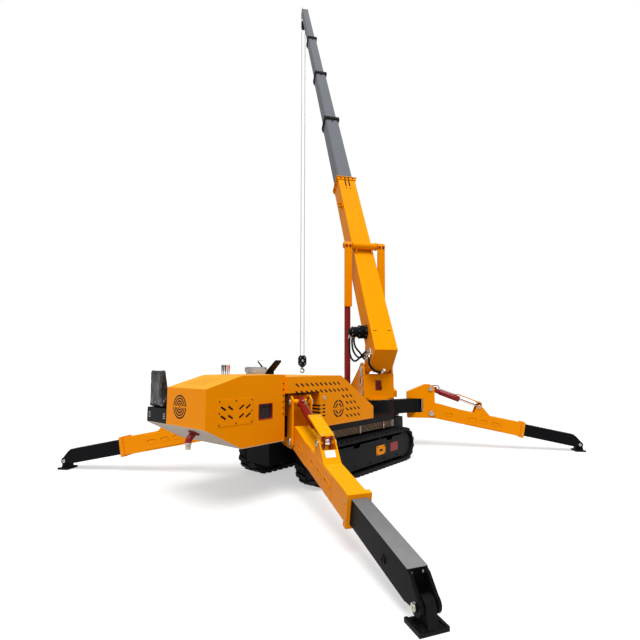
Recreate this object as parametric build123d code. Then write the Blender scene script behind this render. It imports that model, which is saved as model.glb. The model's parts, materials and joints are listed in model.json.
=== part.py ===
"""Crawler crane on four swing-out outriggers, built as separate pieces.

Millimetres, +X towards the turret end, +Y to the left, +Z up. The origin is on
the ground, under the centre of the slewing ring. The rest pose has the machine
on its tracks with the outriggers down and the boom raised and run out.
"""
from build123d import *
import os
from math import atan2, cos, degrees, hypot, pi, radians, sin

os.makedirs("parts", exist_ok=True)

# Clearances
running_gap = 0.3
side_gap = 7.0

# Crawler tracks
track_rear = -2560.0
track_front = 100.0
track_height = 550.0
track_width = 360.0
track_outer = 770.0
belt_thickness = 36.0
lug_height = 20.0
lug_length = 74.0
lug_lean = 16.0
lug_spacing = 118.0
lug_lane_gap = 24.0
roller_radius = 85.0
roller_width = 150.0
roller_count = 5
carrier_radius = 52.0
axle_radius = 24.0
frame_inset = 50.0
frame_recess = 34.0
skirt_inset = 100.0
skirt_thickness = 12.0
skirt_opening_length = 200.0
skirt_opening_depth = 44.0

# Chassis
spine_gap = 25.0
spine_half_width = track_outer - track_width - spine_gap
spine_bottom = 300.0
spine_top = 660.0
spine_rear = -2850.0
spine_front = 400.0
axle_size = 130.0
neck_front = -2360.0
neck_half_width = 225.0
pedestal_inset = 300.0
plate = 14.0
deck_bottom = 700.0
deck_top = 785.0
deck_half_width = 668.0
deck_rear = -2360.0
deck_front = -430.0
ring_radius = 380.0
ring_top = 990.0
ring_plate = 30.0
post_radius = 130.0
post_bottom = 690.0
post_top = 950.0
beam_width = 200.0
tail_beam_rear = -3200.0
tail_beam_width = 100.0
tail_beam_height = 110.0
pipe_inset = 16.0
pipe_count = 6
pipe_pitch = 18.0
pipe_radius = 5.5
clamp_half = 16.0
clamp_inset = 300.0

# Rear cabinet and seat
cabinet_rear = -4110.0
cabinet_knee = -3630.0
cabinet_front = -2960.0
cabinet_right = -620.0
cabinet_left = 150.0
seat_left = 600.0
cabinet_bottom = 690.0
cabinet_end_bottom = 940.0
cabinet_end_top = 1360.0
cabinet_top = 1495.0
console_rear = -3300.0
console_top = 1440.0
sheet = 6.0
seat_base_top = 1110.0
seat_base_front = -3600.0
seat_back_top = 1565.0
seat_thickness = 100.0
seat_width = 300.0
seat_offset = 80.0
seat_top_thickness = 55.0
seat_back_inset = 15.0
lever_count = 5
lever_pitch = 40.0
lever_height = 180.0
lever_radius = 6.0
rest_x = -2660.0
rest_depth = 110.0
rest_half = 40.0
rest_foot = 40.0
rest_height = 215.0
rest_spread = 185.0
rest_plate = 24.0
top_box_rear = -2935.0
top_box_front = -2735.0
top_box_right = -30.0
top_box_left = 200.0
top_box_height = 117.0
top_box_tier = 52.0
top_box_overhang = 12.0
stub_length = 165.0
stub_radius = 28.0
stub_inset = 110.0
stub_side = 360.0
stub_flange = 90.0
end_vent_y = -127.0
end_vent_z = 1152.0
end_vent_radius = 131.0
cover_rear = -3958.0
cover_front = -3471.0
cover_bottom = 953.0
cover_top = 1241.0
cover_thickness = 3.0
latch_rear = -3380.0
latch_front = -3175.0
latch_bottom = 985.0
latch_top = 1153.0
latch_depth = 45.0
hole_length = 34.0
hole_width = 12.0
hole_columns = 4
hole_rows = 6
hole_pitch = 62.0

# Engine hood
hood_half_width = 680.0
hood_top = 1468.0
hood_flat_end = -1880.0
hood_nose = -1050.0
hood_nose_top = 972.0
hood_notch_front = -2360.0
hood_notch_top = 1262.0
engine_length = 600.0
engine_width = 620.0
engine_height = 520.0
slot_length = 76.0
slot_width = 22.0
slot_lean = 33.0
slot_pitch = 95.0
slot_rear = -2795.0
slot_low_row = 882.0
slot_group_rear = -1740.0
short_slot_length = 60.0
short_slot_rear = -2365.0
short_slot_pitch = 46.0
hood_vent_x = -1945.0
hood_vent_z = 1002.0
hood_vent_radius = 122.0
vent_slot = 24.0
vent_step = 46.0
vent_bridge = 20.0

# Turret and luffing gear, in the plane of the boom
boom_azimuth = 52.5
boom_elevation = 60.0
turret_base = ring_top + ring_plate
turret_half_width = 285.0
turret_plate = 30.0
turret_rear = -300.0
turret_rear_top = 1450.0
pivot_reach = -170.0
pivot_height = 1550.0
pivot_boss = 115.0
pivot_pin = 45.0
luff_base_reach = 550.0
luff_base_height = 1150.0
luff_side = 354.0
luff_pin = 42.0
luff_eye = 80.0
luff_barrel_radius = 62.0
luff_rod_radius = 36.0
luff_barrel_length = 1727.0
yoke_along = 2500.0
yoke_radius = 72.0
yoke_rise = 84.0
saddle_half = 160.0
yoke_end = 270.0
eye_end = 431.0
guard_length = 1280.0
luff_eye_half = 50.0
luff_bore_start = 120.0
luff_bore_gap = 16.0
luff_gland = 60.0
luff_rod_start = 1150.0
guard_fold = 40.0
window_width = 130.0
window_height = 185.0
window_middle = 1250.0

# Boom sections: outer width and height of each, from the base outwards
section_widths = [420.0, 370.0, 325.0, 280.0, 236.0]
section_heights = [500.0, 430.0, 384.0, 338.0, 292.0]
section_walls = [8.0, 7.0, 6.0, 6.0, 6.0]
section_chamfer = 90.0
upper_chamfer = 34.0
base_tail = 15.0
base_tail_rake = 173.0
base_mouth = 4975.0
section_run_out = 2925.0
section_length = 4500.0
boom_top = 644.0
collar_length = 90.0
collar_wall = 22.0
tail_pad_length = 80.0
heel_width = 60.0
heel_radius = 95.0
head_length = 260.0
sheave_radius = 150.0
sheave_width = 40.0

# Winch, rope and hook
winch_along = 555.0
winch_radius = 118.0
winch_reach = 320.0
rope_radius = 7.0
fall_spread = 70.0
hook_block_top = 2010.0
hook_block_height = 440.0
hook_block_width = 300.0
hook_block_depth = 190.0
fall_gap = 60.0
hook_ring = 72.0

# Outriggers: swing axis, hinge and arm
front_post_x = 1041.0
front_post_y = 317.0
front_azimuth = 58.0
rear_post_x = -2620.0
rear_post_y = 454.0
rear_azimuth = 120.0
hinge_reach = 300.0
hinge_height = 670.0
arm_slope = 11.2
cheek_inner = 110.0
cheek_outer = 132.0
hinge_pin = 40.0
lift_pin = 35.0
lift_pin_height = 1150.0
swing_pin = 45.0
swing_pin_top = 1060.0
bracket_bottom = 580.0
bracket_top = 1232.0
bracket_shoulder = 1085.0
bracket_back = 165.0
bracket_web = 25.0
cheek_front = 75.0
pin_head = 12.0
arm_width = 190.0
arm_height = 260.0
arm_rise = 46.0
arm_wall = 8.0
arm_length = 1750.0
arm_root_top = 205.0
root_width = 205.0
root_radius = 85.0
root_length = 550.0
doubler_thickness = 4.0
doubler_start = 680.0
doubler_end = 1330.0
root_boss_along = 340.0
boss_length = 150.0
boss_height = 66.0
boss_pitch = 215.0
arm_collar_wall = 19.0
arm_collar_length = 60.0
inner_width = 155.0
inner_height = 219.0
inner_wall = 9.0
inner_tail = 1050.0
inner_end = 2640.0
foot_pin_along = 2757.0
foot_pin_rise = -6.0
foot_pin = 28.0
foot_lug = 76.0
foot_length = 176.0
foot_width = 214.0
foot_plate = 22.0
foot_boss = 58.0
foot_cheek = 24.0
lug_along = 880.0
lug_rise = 310.0
cylinder_radius = 46.0
cylinder_rod = 24.0
cylinder_length = 600.0
cylinder_wall = 8.0
barrel_eye_half = 34.0
piston_start = 420.0
rod_eye = 45.0
rod_eye_half = 25.0
lug_thickness = 14.0
lug_slope_length = 220.0
lug_slope_start = 0.35
rod_guard_length = 450.0
rod_guard_half = 75.0
rod_guard_rise = 88.0


def save(node, shape):
    """Write one node's solids to its own file."""
    shape.label = node
    export_step(shape, os.path.join("parts", node + ".step"))


def block(x0, x1, y0, y1, z0, z1):
    """A box between two corners."""
    middle = Pos((x0 + x1) / 2, (y0 + y1) / 2, (z0 + z1) / 2)
    return middle * Box(x1 - x0, y1 - y0, z1 - z0)


def side_face(points, y):
    """A closed outline in the XZ plane, facing -Y at the given y."""
    plane = Plane(origin=(0, y, 0), x_dir=(1, 0, 0), z_dir=(0, -1, 0))
    return plane * make_face(Polyline(*points, close=True))


def side_plate(points, y0, y1):
    """An XZ outline as thick as from y0 to y1."""
    return extrude(side_face(points, y1), amount=y1 - y0)


def bar(start, end, radius):
    """A round bar between two points."""
    run = Vector(*end) - Vector(*start)
    return extrude(Plane(origin=start, z_dir=run) * Circle(radius), amount=run.length)


def cross_bar(x, z, y0, y1, radius):
    """A round bar along Y."""
    return bar((x, y0, z), (x, y1, z), radius)


def slots(x, z, count, pitch, length, lean):
    """Cutters for a row of slots along X, through both sides of the hood or cabinet."""
    through = 4 * hood_half_width
    return [Pos(x + index * pitch, 0, z) * Rot(0, lean, 0) * Box(length, through, slot_width)
            for index in range(count)]


def round_vent(radius):
    """The ring slots of a round vent, with the bridges that hold its rings."""
    face = Circle(vent_slot)
    reach = radius
    while reach > 2 * vent_slot:
        face += Circle(reach) - Circle(reach - vent_slot)
        reach -= vent_step
    return face - Rectangle(2 * radius, vent_bridge) - Rectangle(vent_bridge, 2 * radius)


# Tracks


def track_path(inset):
    """The stadium outline of the track, drawn in by the given distance."""
    radius = track_height / 2
    straight = track_front - track_rear - track_height
    return SlotCenterToCenter(straight, 2 * (radius - inset))


def track_belt(side):
    """One rubber track with its lugs in two staggered lanes."""
    centre = ((track_rear + track_front) / 2, track_height / 2)
    y0 = track_outer - track_width
    plane = Plane(origin=(centre[0], track_outer, centre[1]), x_dir=(1, 0, 0), z_dir=(0, -1, 0))
    ring = track_path(lug_height) - track_path(lug_height + belt_thickness)
    belt = extrude(plane * ring, amount=track_width)
    radius = track_height / 2 - lug_height
    straight = track_front - track_rear - track_height
    around = 2 * straight + 2 * pi * radius
    count = 2 * round(around / lug_spacing / 2)
    lane = (track_width - lug_lane_gap) / 2
    lugs = []
    for index in range(2 * count):
        along = index * around / (2 * count)
        x, z, turn = point_on_track(along, straight, radius)
        y = y0 + lane / 2 if index % 2 else track_outer - lane / 2
        lean = lug_lean if index % 2 else -lug_lean
        place = Pos(centre[0] + x, y, centre[1] + z) * Rot(0, turn, 0) * Rot(0, 0, lean)
        lugs.append(place * Pos(0, 0, lug_height / 2 - 1) * Box(lug_length, lane, lug_height + 2))
    whole = belt + lugs
    lowest = block(track_rear, track_front, y0, track_outer, 0, track_height)
    whole = whole & lowest
    return whole if side > 0 else mirror(whole, about=Plane.XZ)


def point_on_track(along, straight, radius):
    """A point on the track's outline from its middle, and its turn about Y."""
    bend = pi * radius
    if along < straight:
        return along - straight / 2, radius, 0
    along -= straight
    if along < bend:
        angle = along / radius
        return straight / 2 + radius * sin(angle), radius * cos(angle), degrees(angle)
    along -= bend
    if along < straight:
        return straight / 2 - along, -radius, 180
    along -= straight
    angle = along / radius
    return -straight / 2 - radius * sin(angle), -radius * cos(angle), 180 + degrees(angle)


def track_frame(side):
    """The roller frame inside one track with its end wheels and rollers."""
    inner = track_outer - track_width
    middle = (inner + track_outer) / 2
    belt_inside = lug_height + belt_thickness
    wheel = track_height / 2 - belt_inside - running_gap
    z = track_height / 2
    ends = (track_rear + track_height / 2, track_front - track_height / 2)
    low = belt_inside + running_gap
    frame_low = low + roller_radius
    frame_high = track_height - belt_inside - 2 * carrier_radius
    outline = [(ends[0] + 60, frame_low), (ends[1] - 60, frame_low), (ends[1] + 40, z),
               (ends[1] - 60, frame_high), (ends[0] + 60, frame_high), (ends[0] - 40, z)]
    beam = side_plate(outline, inner + frame_inset, track_outer - frame_recess)
    beam -= block(ends[0] + 80, ends[1] - 80, inner + frame_inset + plate, track_outer - frame_recess - plate,
                  frame_low, frame_high - plate)
    rounds = [cross_bar(x, z, inner + 30, track_outer - 45, wheel) for x in ends]
    first = ends[0] + wheel + roller_radius + 20
    last = ends[1] - wheel - roller_radius - 20
    for index in range(roller_count):
        x = first + (last - first) * index / (roller_count - 1)
        rounds.append(cross_bar(x, frame_low, middle - roller_width / 2, middle + roller_width / 2, roller_radius))
        rounds.append(cross_bar(x, frame_low, inner + frame_inset, track_outer - frame_recess, axle_radius))
    carrier_z = track_height - belt_inside - running_gap - carrier_radius
    for share in (0.36, 0.68):
        x = ends[0] + (ends[1] - ends[0]) * share
        rounds.append(cross_bar(x, carrier_z, middle - roller_width / 2, middle + roller_width / 2, carrier_radius))
        rounds.append(block(x - 30, x + 30, middle - 40, middle + 40, frame_high - 20, carrier_z))
    whole = beam + rounds + track_skirt()
    return whole if side > 0 else mirror(whole, about=Plane.XZ)


def track_skirt():
    """Outer plate of a roller frame, with two openings along its upper edge."""
    middle = (track_rear + track_front) / 2
    outer = track_outer - frame_recess
    plane = Plane(origin=(middle, outer, track_height / 2), x_dir=(1, 0, 0), z_dir=(0, -1, 0))
    skirt = extrude(plane * track_path(skirt_inset), amount=skirt_thickness)
    top = track_height - skirt_inset
    for share in (-0.135, 0.21):
        x = middle + share * (track_front - track_rear)
        half = skirt_opening_length / 2
        notch = [(x - half * 0.7, top - skirt_opening_depth), (x + half * 0.7, top - skirt_opening_depth),
                 (x + half, top), (x - half, top)]
        skirt -= side_plate(notch, outer - skirt_thickness, outer)
    return skirt


# Chassis


def chassis_frame():
    """Welded frame: spine and axles, deck, slewing pedestal, outrigger posts and tail beams."""
    whole = trough(neck_front, spine_front, spine_half_width, spine_bottom, spine_top)
    whole += trough(spine_rear, neck_front + plate, neck_half_width, spine_bottom, post_bottom)
    reach = track_outer - track_width + frame_inset
    quarter = (track_front - track_rear) / 4
    axle_low = track_height / 2 - axle_size / 2
    for x in (track_rear + quarter, track_front - quarter):
        whole += block(x - axle_size, x + axle_size, -reach, reach, axle_low, axle_low + axle_size)
    deck = trough(deck_rear, deck_front, deck_half_width, deck_bottom, deck_top)
    deck += block(deck_rear, deck_front, -spine_half_width, spine_half_width, spine_top, deck_bottom + plate)
    whole += deck
    whole += trough(deck_front - plate, 0, ring_radius, spine_top, deck_top)
    whole += bar((0, 0, spine_top), (0, 0, ring_top), ring_radius)
    whole -= bar((0, 0, spine_bottom), (0, 0, ring_top - ring_plate), ring_radius - plate)
    for side in (-1, 1):
        whole += outrigger_post(pedestal_inset, front_post_x, side * front_post_y)
        whole += outrigger_post(rear_post_x, rear_post_x, side * rear_post_y)
        y = side * neck_half_width / 2
        whole += block(tail_beam_rear, spine_rear, y - tail_beam_width / 2, y + tail_beam_width / 2,
                       cabinet_bottom - sheet - tail_beam_height, cabinet_bottom - sheet)
    return whole


def trough(x0, x1, half_width, z0, z1):
    """A long box of plate, open below."""
    hollow = block(x0 + plate, x1 - plate, plate - half_width, half_width - plate, z0, z1 - plate)
    return block(x0, x1, -half_width, half_width, z0, z1) - hollow


def outrigger_post(x0, x, y):
    """A box arm from the mid-plane that ends in a round boss with its upright swing pin."""
    height = post_top - post_bottom
    y0 = y * x0 / x if x0 != x else 0
    run = hypot(x - x0, y - y0)
    turn = degrees(atan2(y - y0, x - x0))
    start = Pos(x0, y0, (post_top + post_bottom) / 2) * Rot(0, 0, turn) * Pos(run / 2, 0, 0)
    arm = start * (Box(run, beam_width, height) - Box(run, beam_width - 2 * plate, height - 2 * plate))
    boss = bar((x, y, post_bottom), (x, y, post_top), post_radius)
    pin = bar((x, y, bracket_bottom), (x, y, swing_pin_top), swing_pin)
    return arm + boss + pin


def deck_pipes():
    """Hydraulic pipes along the right edge of the deck, in their clamps."""
    y = -(deck_half_width - pipe_inset)
    lowest = deck_bottom - pipe_count * pipe_pitch
    whole = []
    for index in range(pipe_count):
        z = lowest + (index + 0.5) * pipe_pitch
        whole.append(bar((deck_rear, y, z), (deck_front, y, z), pipe_radius))
    clamps = [block(x - clamp_half, x + clamp_half, y - clamp_half, y + clamp_half, lowest - pipe_radius, deck_bottom)
              for x in (deck_rear + clamp_inset, (deck_rear + deck_front) / 2, deck_front - clamp_inset)]
    return clamps[0] + clamps[1:] + whole


# Cabinet, seat and hood


def cabinet():
    """Rear cabinet of sheet metal, with a control console on its left."""
    outline = [(cabinet_rear, cabinet_end_bottom), (cabinet_knee, cabinet_bottom), (cabinet_front, cabinet_bottom),
               (cabinet_front, cabinet_top), (cabinet_knee, cabinet_top), (cabinet_rear, cabinet_end_top)]
    whole = side_plate(outline, cabinet_right, cabinet_left)
    whole += block(console_rear, cabinet_front, cabinet_left - sheet, seat_left, cabinet_bottom, console_top)
    inner = offset(side_face(outline, cabinet_left - sheet), amount=-sheet)
    whole -= extrude(inner, amount=cabinet_left - cabinet_right - 2 * sheet)
    whole -= block(console_rear + sheet, cabinet_front - sheet, cabinet_left, seat_left - sheet,
                   cabinet_bottom + sheet, console_top - sheet)
    whole += block(cover_rear, cover_front, cabinet_right - cover_thickness, cabinet_right, cover_bottom, cover_top)
    whole -= cabinet_openings() & block(cabinet_rear, cabinet_front, cabinet_right - sheet, cabinet_right + sheet,
                                        cabinet_bottom, cabinet_top)
    vent = Plane(origin=(cabinet_rear, end_vent_y, end_vent_z), x_dir=(0, 1, 0), z_dir=(1, 0, 0))
    whole -= extrude(vent * round_vent(end_vent_radius), amount=sheet)
    for row in range(hole_rows):
        for column in range(hole_columns):
            x = (cabinet_rear + cabinet_knee) / 2 + (column - (hole_columns - 1) / 2) * hole_pitch
            y = (cabinet_right + cabinet_left) / 2 + (row - (hole_rows - 1) / 2) * hole_pitch
            whole -= Pos(x, y, cabinet_top) * Box(hole_length, hole_width, 2 * (cabinet_top - cabinet_end_top))
    tray = block(latch_rear - sheet, latch_front + sheet, cabinet_right, cabinet_right + latch_depth + sheet,
                 latch_bottom - sheet, latch_top + sheet)
    whole += tray - block(latch_rear, latch_front, cabinet_right, cabinet_right + latch_depth, latch_bottom, latch_top)
    return whole


def cabinet_openings():
    """Cutters for the side cover's slots, leaning towards its middle, and for the latch."""
    middle = (cover_rear + cover_front) / 2
    whole = []
    for z in ((cover_bottom + cover_top + slot_pitch) / 2, (cover_bottom + cover_top - slot_pitch) / 2):
        whole += slots(middle - 1.8 * slot_pitch, z, 2, slot_pitch, slot_length, slot_lean)
        whole += slots(middle + 0.8 * slot_pitch, z, 2, slot_pitch, slot_length, -slot_lean)
    latch = block(latch_rear, latch_front, 2 * cabinet_right, cabinet_left, latch_bottom, latch_top)
    return latch + whole


def cabinet_floor():
    """Sloped bottom panel under the cabinet's tail and the seat, with the foot floor."""
    outline = [(cabinet_rear, cabinet_end_bottom), (cabinet_knee, cabinet_bottom),
               (cabinet_knee, cabinet_bottom - sheet), (cabinet_rear, cabinet_end_bottom - sheet)]
    whole = side_plate(outline, cabinet_right, seat_left)
    whole += block(cabinet_knee, cabinet_front, cabinet_right, seat_left, cabinet_bottom - sheet, cabinet_bottom)
    return whole


def seat_base():
    """Closed box under the seat, down to the sloped bottom panel."""
    slope = (cabinet_end_bottom - cabinet_bottom) / (cabinet_knee - cabinet_rear)
    front_z = max(cabinet_bottom, cabinet_end_bottom - slope * (seat_base_front - cabinet_rear))
    outline = [(cabinet_rear, cabinet_end_bottom), (min(cabinet_knee, seat_base_front), front_z),
               (seat_base_front, front_z), (seat_base_front, seat_base_top), (cabinet_rear, seat_base_top)]
    if seat_base_front <= cabinet_knee:
        outline.pop(1)
    return side_plate(outline, cabinet_left, seat_left)


def seat():
    """Operator's seat: cushion and backrest."""
    middle = (cabinet_left + seat_left) / 2 + seat_offset
    back = cabinet_rear + seat_back_inset
    top = seat_base_top + seat_thickness
    outline = [(back, seat_base_top), (seat_base_front, seat_base_top), (seat_base_front, top),
               (back + seat_thickness + 20, top), (back + seat_top_thickness, seat_back_top), (back, seat_back_top)]
    return side_plate(outline, middle - seat_width / 2, middle + seat_width / 2)


def controls():
    """Lever row on the console, and the forked boom rest on the hood."""
    whole = []
    for index in range(lever_count):
        y = (cabinet_left + seat_left) / 2 + (index - (lever_count - 1) / 2) * lever_pitch
        x = (console_rear + cabinet_front) / 2
        whole.append(bar((x, y, console_top), (x, y, console_top + lever_height), lever_radius))
    low = hood_top + rest_foot
    rest = block(rest_x - rest_depth / 2, rest_x + rest_depth / 2, -rest_half, rest_half, hood_top, low + rest_plate)
    plane = Plane(origin=(rest_x + rest_depth / 2, 0, 0), x_dir=(0, 1, 0), z_dir=(1, 0, 0))
    for side in (-1, 1):
        prong = [(side * rest_half / 2, low), (side * rest_spread, hood_top + rest_height - rest_plate),
                 (side * rest_spread, hood_top + rest_height), (0, low + rest_plate)]
        rest += extrude(plane * make_face(Polyline(*prong, close=True)), amount=-rest_depth)
    return whole[0] + whole[1:] + rest


def hood():
    """Engine hood of sheet metal, open below, stepped at the rear for the outrigger brackets."""
    outline = [(cabinet_front, hood_notch_top), (hood_notch_front, hood_notch_top), (hood_notch_front, deck_top),
               (hood_nose, deck_top), (hood_nose, hood_nose_top), (hood_flat_end, hood_top), (cabinet_front, hood_top)]
    whole = side_plate(outline, -hood_half_width, hood_half_width)
    inner = offset(side_face(outline, hood_half_width - sheet), amount=-sheet)
    whole -= extrude(inner, amount=2 * (hood_half_width - sheet))
    top_row = slot_low_row + 5 * slot_pitch
    whole -= slots(slot_rear, top_row, 10, slot_pitch, slot_length, slot_lean)
    whole -= slots(slot_rear, top_row - slot_pitch, 12, slot_pitch, slot_length, slot_lean)
    for row, count in enumerate((4, 4, 3, 3)):
        x = slot_group_rear - (slot_pitch if row == 3 else 0)
        whole -= slots(x, slot_low_row + row * slot_pitch, count, slot_pitch, slot_length, slot_lean)
        z = hood_vent_z + (row - 1.5) * short_slot_pitch
        whole -= slots(short_slot_rear, z, 2, slot_pitch, short_slot_length, 0)
    vent = Plane(origin=(hood_vent_x, hood_half_width, hood_vent_z), x_dir=(1, 0, 0), z_dir=(0, -1, 0))
    return whole - extrude(vent * round_vent(hood_vent_radius), amount=2 * hood_half_width)


def hood_part(start, end):
    """The hood between two stations along the machine."""
    return hood() & block(start, end, -hood_half_width, hood_half_width, deck_top, hood_top)


def top_box():
    """Flat box on the hood in two tiers, the lower one drawn in under the upper one."""
    tier = hood_top + top_box_tier
    whole = block(top_box_rear, top_box_front, top_box_right, top_box_left, tier, hood_top + top_box_height)
    return whole + block(top_box_rear + top_box_overhang, top_box_front - top_box_overhang,
                         top_box_right + top_box_overhang, top_box_left - top_box_overhang, hood_top, tier)


def engine():
    """Engine block, on the deck inside the hood."""
    x = hood_notch_front + engine_length / 2 + 60
    return block(x - engine_length / 2, x + engine_length / 2, -engine_width / 2, engine_width / 2,
                 deck_top + sheet, deck_top + sheet + engine_height)


def exhaust_stub():
    """Flanged pipe stub under the sloped panel."""
    x = cabinet_rear + stub_inset
    y = cabinet_right + stub_side
    slope = (cabinet_end_bottom - cabinet_bottom) / (cabinet_knee - cabinet_rear)
    z = cabinet_end_bottom - slope * (x - cabinet_rear) - sheet
    lean = degrees(atan2(slope, 1))
    place = Pos(x, y, z) * Rot(0, lean, 0)
    flange = place * Pos(0, 0, -stub_flange / 8 - running_gap) * Box(stub_flange, stub_flange, stub_flange / 4)
    start = Vector(*(place * Pos(0, 0, -stub_flange / 8)).position)
    bend = start + Vector(-stub_length * 0.4, 0, -stub_length * 0.4)
    mouth = bend - Vector(0, 0, stub_length * 0.3)
    line = FilletPolyline(start, bend, mouth, radius=2 * stub_radius)
    elbow = sweep(Plane(origin=start, z_dir=bend - start) * Circle(stub_radius * 1.3), path=line)
    pipe = bar(tuple(bend - Vector(0, 0, stub_length * 0.2)), tuple(bend - Vector(0, 0, stub_length * 0.6)), stub_radius)
    return flange + elbow + pipe


# Turret and boom, drawn in the plane of the boom with X outwards


slew_place = Rot(0, 0, boom_azimuth)
boom_place = slew_place * Pos(pivot_reach, 0, pivot_height) * Rot(0, -boom_elevation, 0)


def turret():
    """Slewing column: two side plates, a rear plate, and the pins of boom and cylinders."""
    outline = [(turret_rear, turret_base), (luff_base_reach + 40, turret_base),
               (luff_base_reach + luff_eye, luff_base_height), (luff_base_reach, luff_base_height + luff_eye),
               (pivot_reach + pivot_boss * 1.6, pivot_height),
               (pivot_reach + pivot_boss, pivot_height + pivot_boss * 0.5),
               (pivot_reach - pivot_boss, pivot_height), (turret_rear, turret_rear_top)]
    inside = turret_half_width - turret_plate
    cheeks = []
    for y0, y1 in ((inside, turret_half_width), (-turret_half_width, -inside)):
        cheeks += [side_plate(outline, y0, y1), cross_bar(pivot_reach, pivot_height, y0, y1, pivot_boss)]
    whole = bar((0, 0, ring_top), (0, 0, turret_base), ring_radius - ring_plate)
    whole += block(turret_rear, luff_base_reach + 40, -turret_half_width, turret_half_width,
                   turret_base, turret_base + turret_plate)
    whole += block(turret_rear, turret_rear + turret_plate, -turret_half_width, turret_half_width,
                   turret_base, turret_rear_top)
    whole -= block(turret_rear, turret_rear + turret_plate, -window_width / 2, window_width / 2,
                   window_middle - window_height / 2, window_middle + window_height / 2)
    whole += cheeks
    whole += cross_bar(pivot_reach, pivot_height, -turret_half_width, turret_half_width, pivot_pin)
    pin_end = luff_side + luff_barrel_radius + side_gap
    whole += cross_bar(luff_base_reach, luff_base_height, -pin_end, pin_end, luff_pin)
    for y in (-1, 1):
        whole += cross_bar(luff_base_reach, luff_base_height, y * pin_end, y * (pin_end + side_gap), luff_pin + 14)
    return slew_place * whole


def section_outline(width, height, chamfer, fold):
    """Boom section with its lower corners cut off and its upper ones folded, about its centre line."""
    w = width / 2
    h = height / 2
    upper = [(fold - w, h), (w - fold, h), (w, h - fold)] if fold > 0 else [(-w, h), (w, h)]
    points = upper + [(w, chamfer - h), (w - chamfer, -h), (chamfer - w, -h), (-w, chamfer - h)]
    return make_face(Polyline(*points, *([(-w, h - fold)] if fold > 0 else []), close=True))


def grown(index, by):
    """The outline of a section, grown outwards by a distance, or drawn in where that is negative."""
    share = section_widths[index] / section_widths[0]
    corner = by * (2 - 2 ** 0.5)
    fold = upper_chamfer * share + corner if index else 0
    return section_outline(section_widths[index] + 2 * by, section_heights[index] + 2 * by,
                           section_chamfer * share + corner, fold)


def along_boom(face, start, end):
    """A boom outline drawn out from start to end along the boom."""
    centre = boom_top - section_heights[0] / 2
    plane = Plane(origin=(start, 0, centre), x_dir=(0, 1, 0), z_dir=(1, 0, 0))
    return extrude(plane * face, amount=end - start)


def section_mouth(index):
    """Where a section ends at rest, along the boom."""
    return base_mouth + index * section_run_out


def boom_section(index):
    """One hollow section with its mouth collar, and slide pads at its tail."""
    mouth = section_mouth(index)
    tail = mouth - section_length if index else base_tail - base_tail_rake
    whole = along_boom(grown(index, 0) - grown(index, -section_walls[index]), tail, mouth)
    if index + 1 < len(section_widths):
        collar = grown(index, collar_wall) - grown(index + 1, running_gap)
        whole += along_boom(collar, mouth - collar_length, mouth)
    if index > 0:
        pad = grown(index - 1, -section_walls[index - 1] - running_gap) - grown(index, -section_walls[index])
        whole += along_boom(pad, tail, tail + tail_pad_length)
    return whole


def boom_base():
    """Base section with its end plate, heel bosses and the cross yoke over its back."""
    low = boom_top - section_heights[0]
    foot = base_tail - base_tail_rake
    rake = [(foot, low), (foot + section_walls[0], low), (base_tail + section_walls[0], boom_top), (base_tail, boom_top)]
    side = section_widths[0] / 2
    whole = boom_section(0) - side_plate([rake[0], rake[3], (foot, boom_top)], -side, side)
    whole += along_boom(grown(0, 0), foot, base_tail + section_walls[0]) & side_plate(rake, -side, side)
    for y in (-1, 1):
        whole += cross_bar(0, 0, y * (side - heel_width), y * side, heel_radius)
        heel = [(foot + heel_width, low + section_chamfer), (-heel_radius, 0), (heel_radius, 0),
                (heel_radius * 4, low + section_chamfer)]
        whole += side_plate(heel, *sorted((y * side, y * (side - heel_width))))
    whole -= cross_bar(0, 0, -turret_half_width, turret_half_width, pivot_pin + running_gap)
    yoke_z = boom_top + yoke_rise
    whole += cross_bar(yoke_along, yoke_z, -yoke_end, yoke_end, yoke_radius)
    for y in (-1, 1):
        saddle = [(yoke_along - saddle_half, boom_top), (yoke_along + saddle_half, boom_top),
                  (yoke_along + yoke_radius, yoke_z), (yoke_along - yoke_radius, yoke_z)]
        whole += side_plate(saddle, y * side * 0.8 - 15, y * side * 0.8 + 15)
    return boom_place * whole


def winch():
    """Winch motor and gear housing on the boom's left side."""
    side = section_widths[0] / 2
    z = boom_top - section_heights[0] / 2
    whole = cross_bar(winch_along, z, side, side + winch_reach * 0.4, winch_radius)
    whole += cross_bar(winch_along, z, side + winch_reach * 0.4, side + winch_reach * 0.8, winch_radius * 0.8)
    whole += cross_bar(winch_along, z, side + winch_reach * 0.8, side + winch_reach, winch_radius * 0.5)
    return boom_place * whole


sheave_along = section_mouth(4) + head_length - 80.0
sheave_rise = boom_top - section_heights[0] / 2 - 100.0


def boom_head():
    """Head on the last section: two cheeks and the sheaves between them."""
    mouth = section_mouth(4)
    centre = boom_top - section_heights[0] / 2
    half = section_widths[4] / 2
    outline = [(mouth, centre - section_heights[4] / 2), (mouth + 60, sheave_rise - sheave_radius * 0.8),
               (sheave_along + 60, sheave_rise - 60), (mouth + head_length, centre),
               (mouth + head_length - 60, centre + section_heights[4] / 2), (mouth, centre + section_heights[4] / 2)]
    whole = along_boom(grown(4, 0), mouth, mouth + 2 * section_walls[0])
    for y in (-1, 1):
        whole += side_plate(outline, min(y * half, y * (half - 12)), max(y * half, y * (half - 12)))
    whole += cross_bar(sheave_along, sheave_rise, -half, half, 25)
    for y in (-fall_spread, fall_spread):
        whole += cross_bar(sheave_along, sheave_rise, y - sheave_width / 2, y + sheave_width / 2, sheave_radius)
    return boom_place * whole


# Luffing cylinders: one each side, from the turret's front pins to the yoke


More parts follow.
